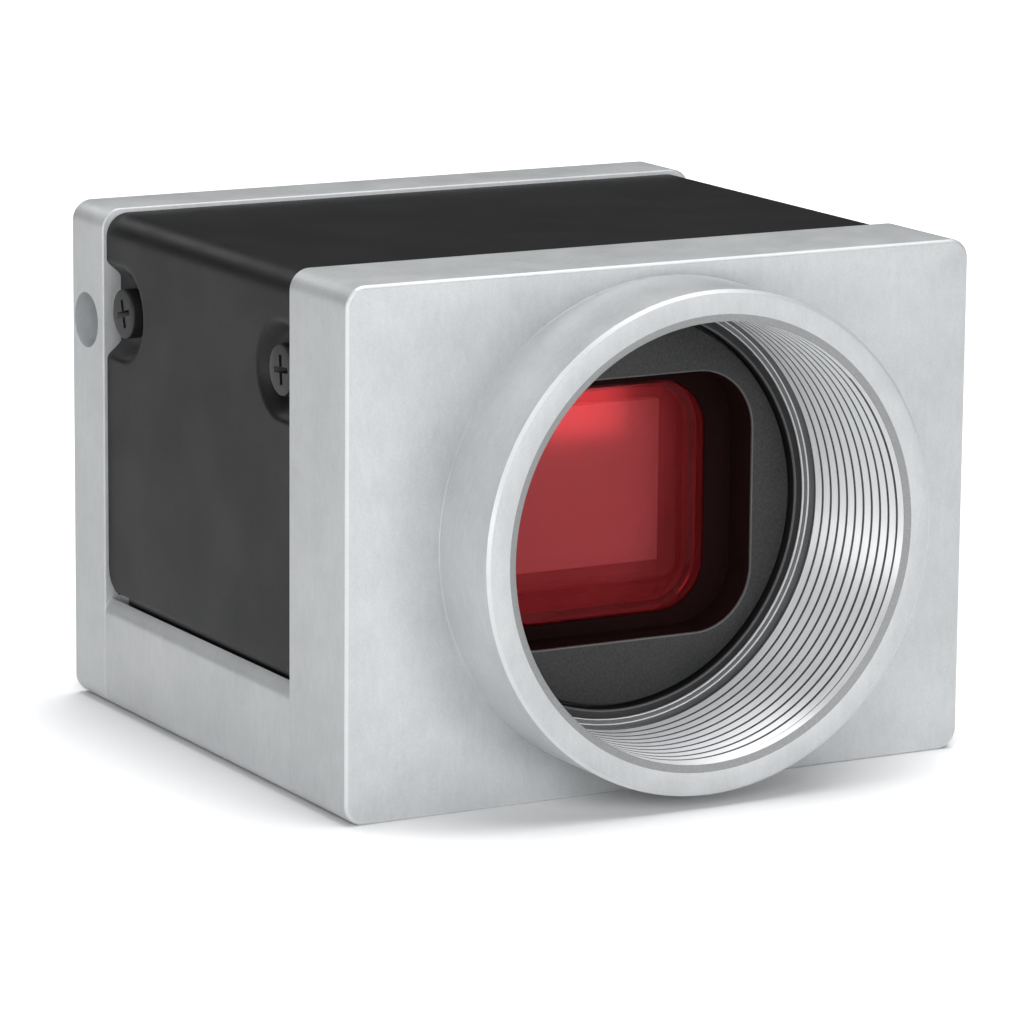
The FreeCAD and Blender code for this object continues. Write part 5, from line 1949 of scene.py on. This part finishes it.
@dataclass
class Connectors:
    """The round connector's shell and pins and the data connector's contacts, in millimetres."""

    outer_r: float = 4.8
    bore_r: float = 3.9
    flange_r: float = 5.4
    edge: float = 0.25
    edge_start: float = 1.1
    edge_shoulder: float = 0.85
    fine: float = 0.02
    mouth_break: float = 0.06
    front_y: float = 12.55
    flange_y: float = 14.25
    face_y: float = 16.25
    mouth_y: float = 21.65
    sides: int = 128
    key_width: float = 1.0
    key_height: float = 0.6
    key_soft: float = 0.04
    pin_r: float = 0.35
    pin_circle_r: float = 2.1
    pin_count: int = 6
    pin_length: float = 7.1
    pin_sides: int = 32
    tip_steps: int = 5
    tongue_z: float = 7.86
    contact: Triple = (0.3, 0.08, 3.9)
    contact_soft: float = 0.02
    contact_y: float = 13.75
    contact_pitch: float = 0.65
    contact_rows: Pair = (-2.1, 4.2)
    contact_count: int = 5

    def shell(self, palette: Palette) -> None:
        """The turned shell with its inner flange, its broken mouth edge and its key.

        Args:
            palette: The finishes.
        """
        outer, bore, mouth = self.outer_r, self.bore_r, self.mouth_y
        start, shoulder = self.edge * self.edge_start, self.edge * self.edge_shoulder
        profile = [
            (bore, self.front_y),
            (outer, self.front_y),
            (outer, self.flange_y),
            (self.flange_r, self.flange_y),
            (self.flange_r, PLATE_FRONT_Y),
            (outer, PLATE_FRONT_Y),
            (outer, mouth - start),
            (outer - self.fine, mouth - shoulder),
            (outer - shoulder, mouth - self.fine),
            (outer - start, mouth),
            (bore + self.mouth_break, mouth),
            (bore, mouth - self.mouth_break),
        ]
        angles = full_turn(self.sides)
        piece = bridge("io_shell", [circle(r, y, angles, z=ROUND_Z) for r, y in profile])
        smooth(piece)
        dress(piece, palette["nickel_shell"], ["io_connector_shell"])
        half = self.key_width / 2
        low = ROUND_Z + bore - self.key_height
        high = ROUND_Z + (bore + outer) / 2
        corners = [(-half, low), (half, low), (half, high), (-half, high)]
        key = extruded("io_shell_key", corners, self.face_y, mouth - self.edge)
        soften(key, self.key_soft)
        smooth(key)
        dress(key, palette["nickel_shell"], ["io_connector_shell"])

    def pins(self, palette: Palette) -> None:
        """The round pins with their rounded tips.

        Args:
            palette: The finishes.
        """
        tip = self.pin_r / 2
        profile = [(self.pin_r, 0.0)]
        for t in quarter_turn(self.tip_steps):
            profile.append((self.pin_r - tip * (1 - math.cos(t)), self.pin_length - tip * (1 - math.sin(t))))
        model = turned("pin_model", profile, self.pin_sides)
        spots = []
        for i in range(self.pin_count):
            turn = 2 * math.pi * (i + 0.5) / self.pin_count
            x, z = self.pin_circle_r * math.cos(turn), ROUND_Z + self.pin_circle_r * math.sin(turn)
            spots.append(Spot((x, self.front_y, z)))
        scatter("io_pins", model, spots, palette["gold_contact"], "io_connector_pins")

    def contacts(self, palette: Palette) -> None:
        """The flat contacts on the data connector's tongue.

        Args:
            palette: The finishes.
        """
        width, thickness, length = self.contact
        mesh = bmesh.new()
        add_block(mesh, (-width / 2, width / 2), (-thickness / 2, thickness / 2), (0.0, length))
        model = to_object("contact_model", mesh)
        soften(model, self.contact_soft)
        middle = (self.contact_count - 1) / 2
        steps = [(i - middle) * self.contact_pitch for i in range(self.contact_count)]
        xs = [row + step for row in self.contact_rows for step in steps]
        spots = [Spot((x, self.contact_y, self.tongue_z)) for x in xs]
        gold = palette["gold_contact"]
        scatter("data_contacts", model, spots, gold, "data_connector_contacts")

    def build(self, palette: Palette) -> None:
        """Builds what is seen of the two connectors from behind.

        Args:
            palette: The finishes.
        """
        self.shell(palette)
        self.pins(palette)
        self.contacts(palette)


class Inside:
    """The pieces that keep their solid's shape and only take a finish."""

    def build(self, palette: Palette) -> None:
        """Dresses every node that nothing stands for, by its record slot.

        Args:
            palette: The finishes.
        """
        slots = {row["node"]: row["material_slot"] for row in frame["record"]["subparts"]}
        for name, piece in frame["nodes"].items():
            if piece.hide_render:
                continue
            piece.data.materials.clear()
            piece.data.materials.append(palette[slots[name]])
            LOG.info("%s: finish %s", name, slots[name])


@dataclass(frozen=True)
class Lamp:
    """One soft area lamp aimed at a point, in metres and watts."""

    name: str
    place: Triple
    size: Pair
    watts: float
    target: Triple = (0.0, 0.0, 0.015)

    def light(self, piece: Optional[Piece] = None) -> None:
        """Sets the lamp up.

        Args:
            piece: The one piece that it lights, or None for all.
        """
        data = bpy.data.lights.new(self.name, "AREA")
        data.shape = "RECTANGLE"
        data.size, data.size_y = self.size
        data.energy = self.watts
        lamp = link(self.name, data)
        aim = Vector(self.target) - Vector(self.place)
        turn = aim.to_track_quat("-Z", "Y").to_matrix().to_4x4()
        lamp.matrix_world = Matrix.Translation(self.place) @ turn
        lamp.visible_camera = False
        if piece is not None:
            group = bpy.data.collections.new(f"{self.name}_piece")
            group.objects.link(piece)
            lamp.light_linking.receiver_collection = group


@dataclass
class Studio:
    """The floor, the lamps and the lens, in metres, with the lens's own sizes in millimetres."""

    place: Triple = (-0.1510, -0.27134, 0.07686)
    right: Triple = (0.875715, -0.482753, 0.008495)
    up: Triple = (0.090168, 0.180799, 0.979378)
    focal: float = 190.177
    sensor: float = 36.0
    clip: Pair = (0.01, 50.0)
    floor_size: float = 6.0
    sky: Triple = (0.93, 0.96, 1.0)
    soft_light: float = 0.16
    gloss_light: float = 0.05
    lamps: Tuple[Lamp, ...] = (
        Lamp("key_left", (-0.40, -0.62, 0.42), (0.40, 0.40), 1.95),
        Lamp("fill_front", (0.24, -0.78, 0.16), (0.5, 0.3), 1.4),
        Lamp("top", (0.12, 0.03, 0.80), (0.8, 0.7), 5.4),
        Lamp("back", (-0.14, 0.76, 0.44), (0.36, 0.18), 0.5),
        Lamp("card_left", (-0.74, -0.41, 0.05), (0.5, 0.10), 1.0),
    )
    glass_card: Lamp = Lamp(
        "card_glass", (0.037, -0.090, 0.007), (0.024, 0.012), 0.0055, (0.037, -0.009, 0.007)
    )
    chip_lamp: Lamp = Lamp("lamp_sensor", (-0.03, -0.26, 0.05), (0.05, 0.05), 0.122, (0.0, -0.004, 0.015))

    def lens(self) -> None:
        """The camera at the photograph's viewing angle."""
        data = bpy.data.cameras.new("view")
        data.lens = self.focal
        data.sensor_width = self.sensor
        data.clip_start, data.clip_end = self.clip
        right, up = Vector(self.right).normalized(), Vector(self.up).normalized()
        view = link("view", data)
        view.matrix_world = (
            Matrix.Translation(self.place) @ Matrix((right, up, right.cross(up))).transposed().to_4x4()
        )
        bpy.context.scene.camera = view

    def floor(self, palette: Palette) -> None:
        """The wide pale floor.

        Args:
            palette: The finishes.
        """
        mesh = bmesh.new()
        bmesh.ops.create_grid(mesh, x_segments=4, y_segments=4, size=self.floor_size / 2)
        floor = to_object("studio_floor", mesh)
        floor.data.materials.append(palette["stage_floor"])

    def world(self) -> None:
        """Even pale light from all round, white to the lens and dim to gloss."""
        tree = Tree("studio", world=True)
        shades = ((self.sky, self.soft_light), (self.sky, self.gloss_light), (grey(1.0), 1.0))
        soft, dim, white = (
            tree.add("ShaderNodeBackground", None, {"Color": colour, "Strength": strength})
            for colour, strength in shades
        )
        glossy = tree.add("ShaderNodeLightPath", out="Is Glossy Ray")
        seen = tree.add("ShaderNodeLightPath", out="Is Camera Ray")
        unseen = tree.blend(glossy, soft, dim)
        bpy.context.scene.world = tree.finish(tree.blend(seen, unseen, white))

    def build(self, palette: Palette, glass: Piece, chip: Piece) -> None:
        """Sets the whole stage.

        Args:
            palette: The finishes.
            glass: The filter, which has a card of its own to mirror.
            chip: The sensor, which the deep mount would leave in shadow without its own lamp.
        """
        self.lens()
        self.floor(palette)
        self.world()
        for lamp in self.lamps:
            lamp.light()
        self.glass_card.light(glass)
        self.chip_lamp.light(chip)
        bpy.context.scene.view_settings.view_transform = "Standard"


def main() -> None:
    """Builds the camera piece by piece."""
    logging.basicConfig(level=logging.INFO, format="%(name)s %(message)s")
    palette = Palette()
    housing = Housing()
    mount = LensMount()
    cover = Cover()
    mount.front_plate(palette, housing)
    mount.thread(palette)
    housing.bottom_bar(palette)
    housing.sensor_frame(palette, mount.holder_bore_r)
    housing.rear_plate(palette)
    housing.rear_plate_inside(palette)
    glass, chip = FilterStack().build(palette)
    cover.build(palette)
    cover.tongues(palette)
    CrossScrews().build(palette, cover)
    Connectors().build(palette)
    Inside().build(palette)
    Studio().build(palette, glass, chip)


if __name__ == "__main__":
    main()
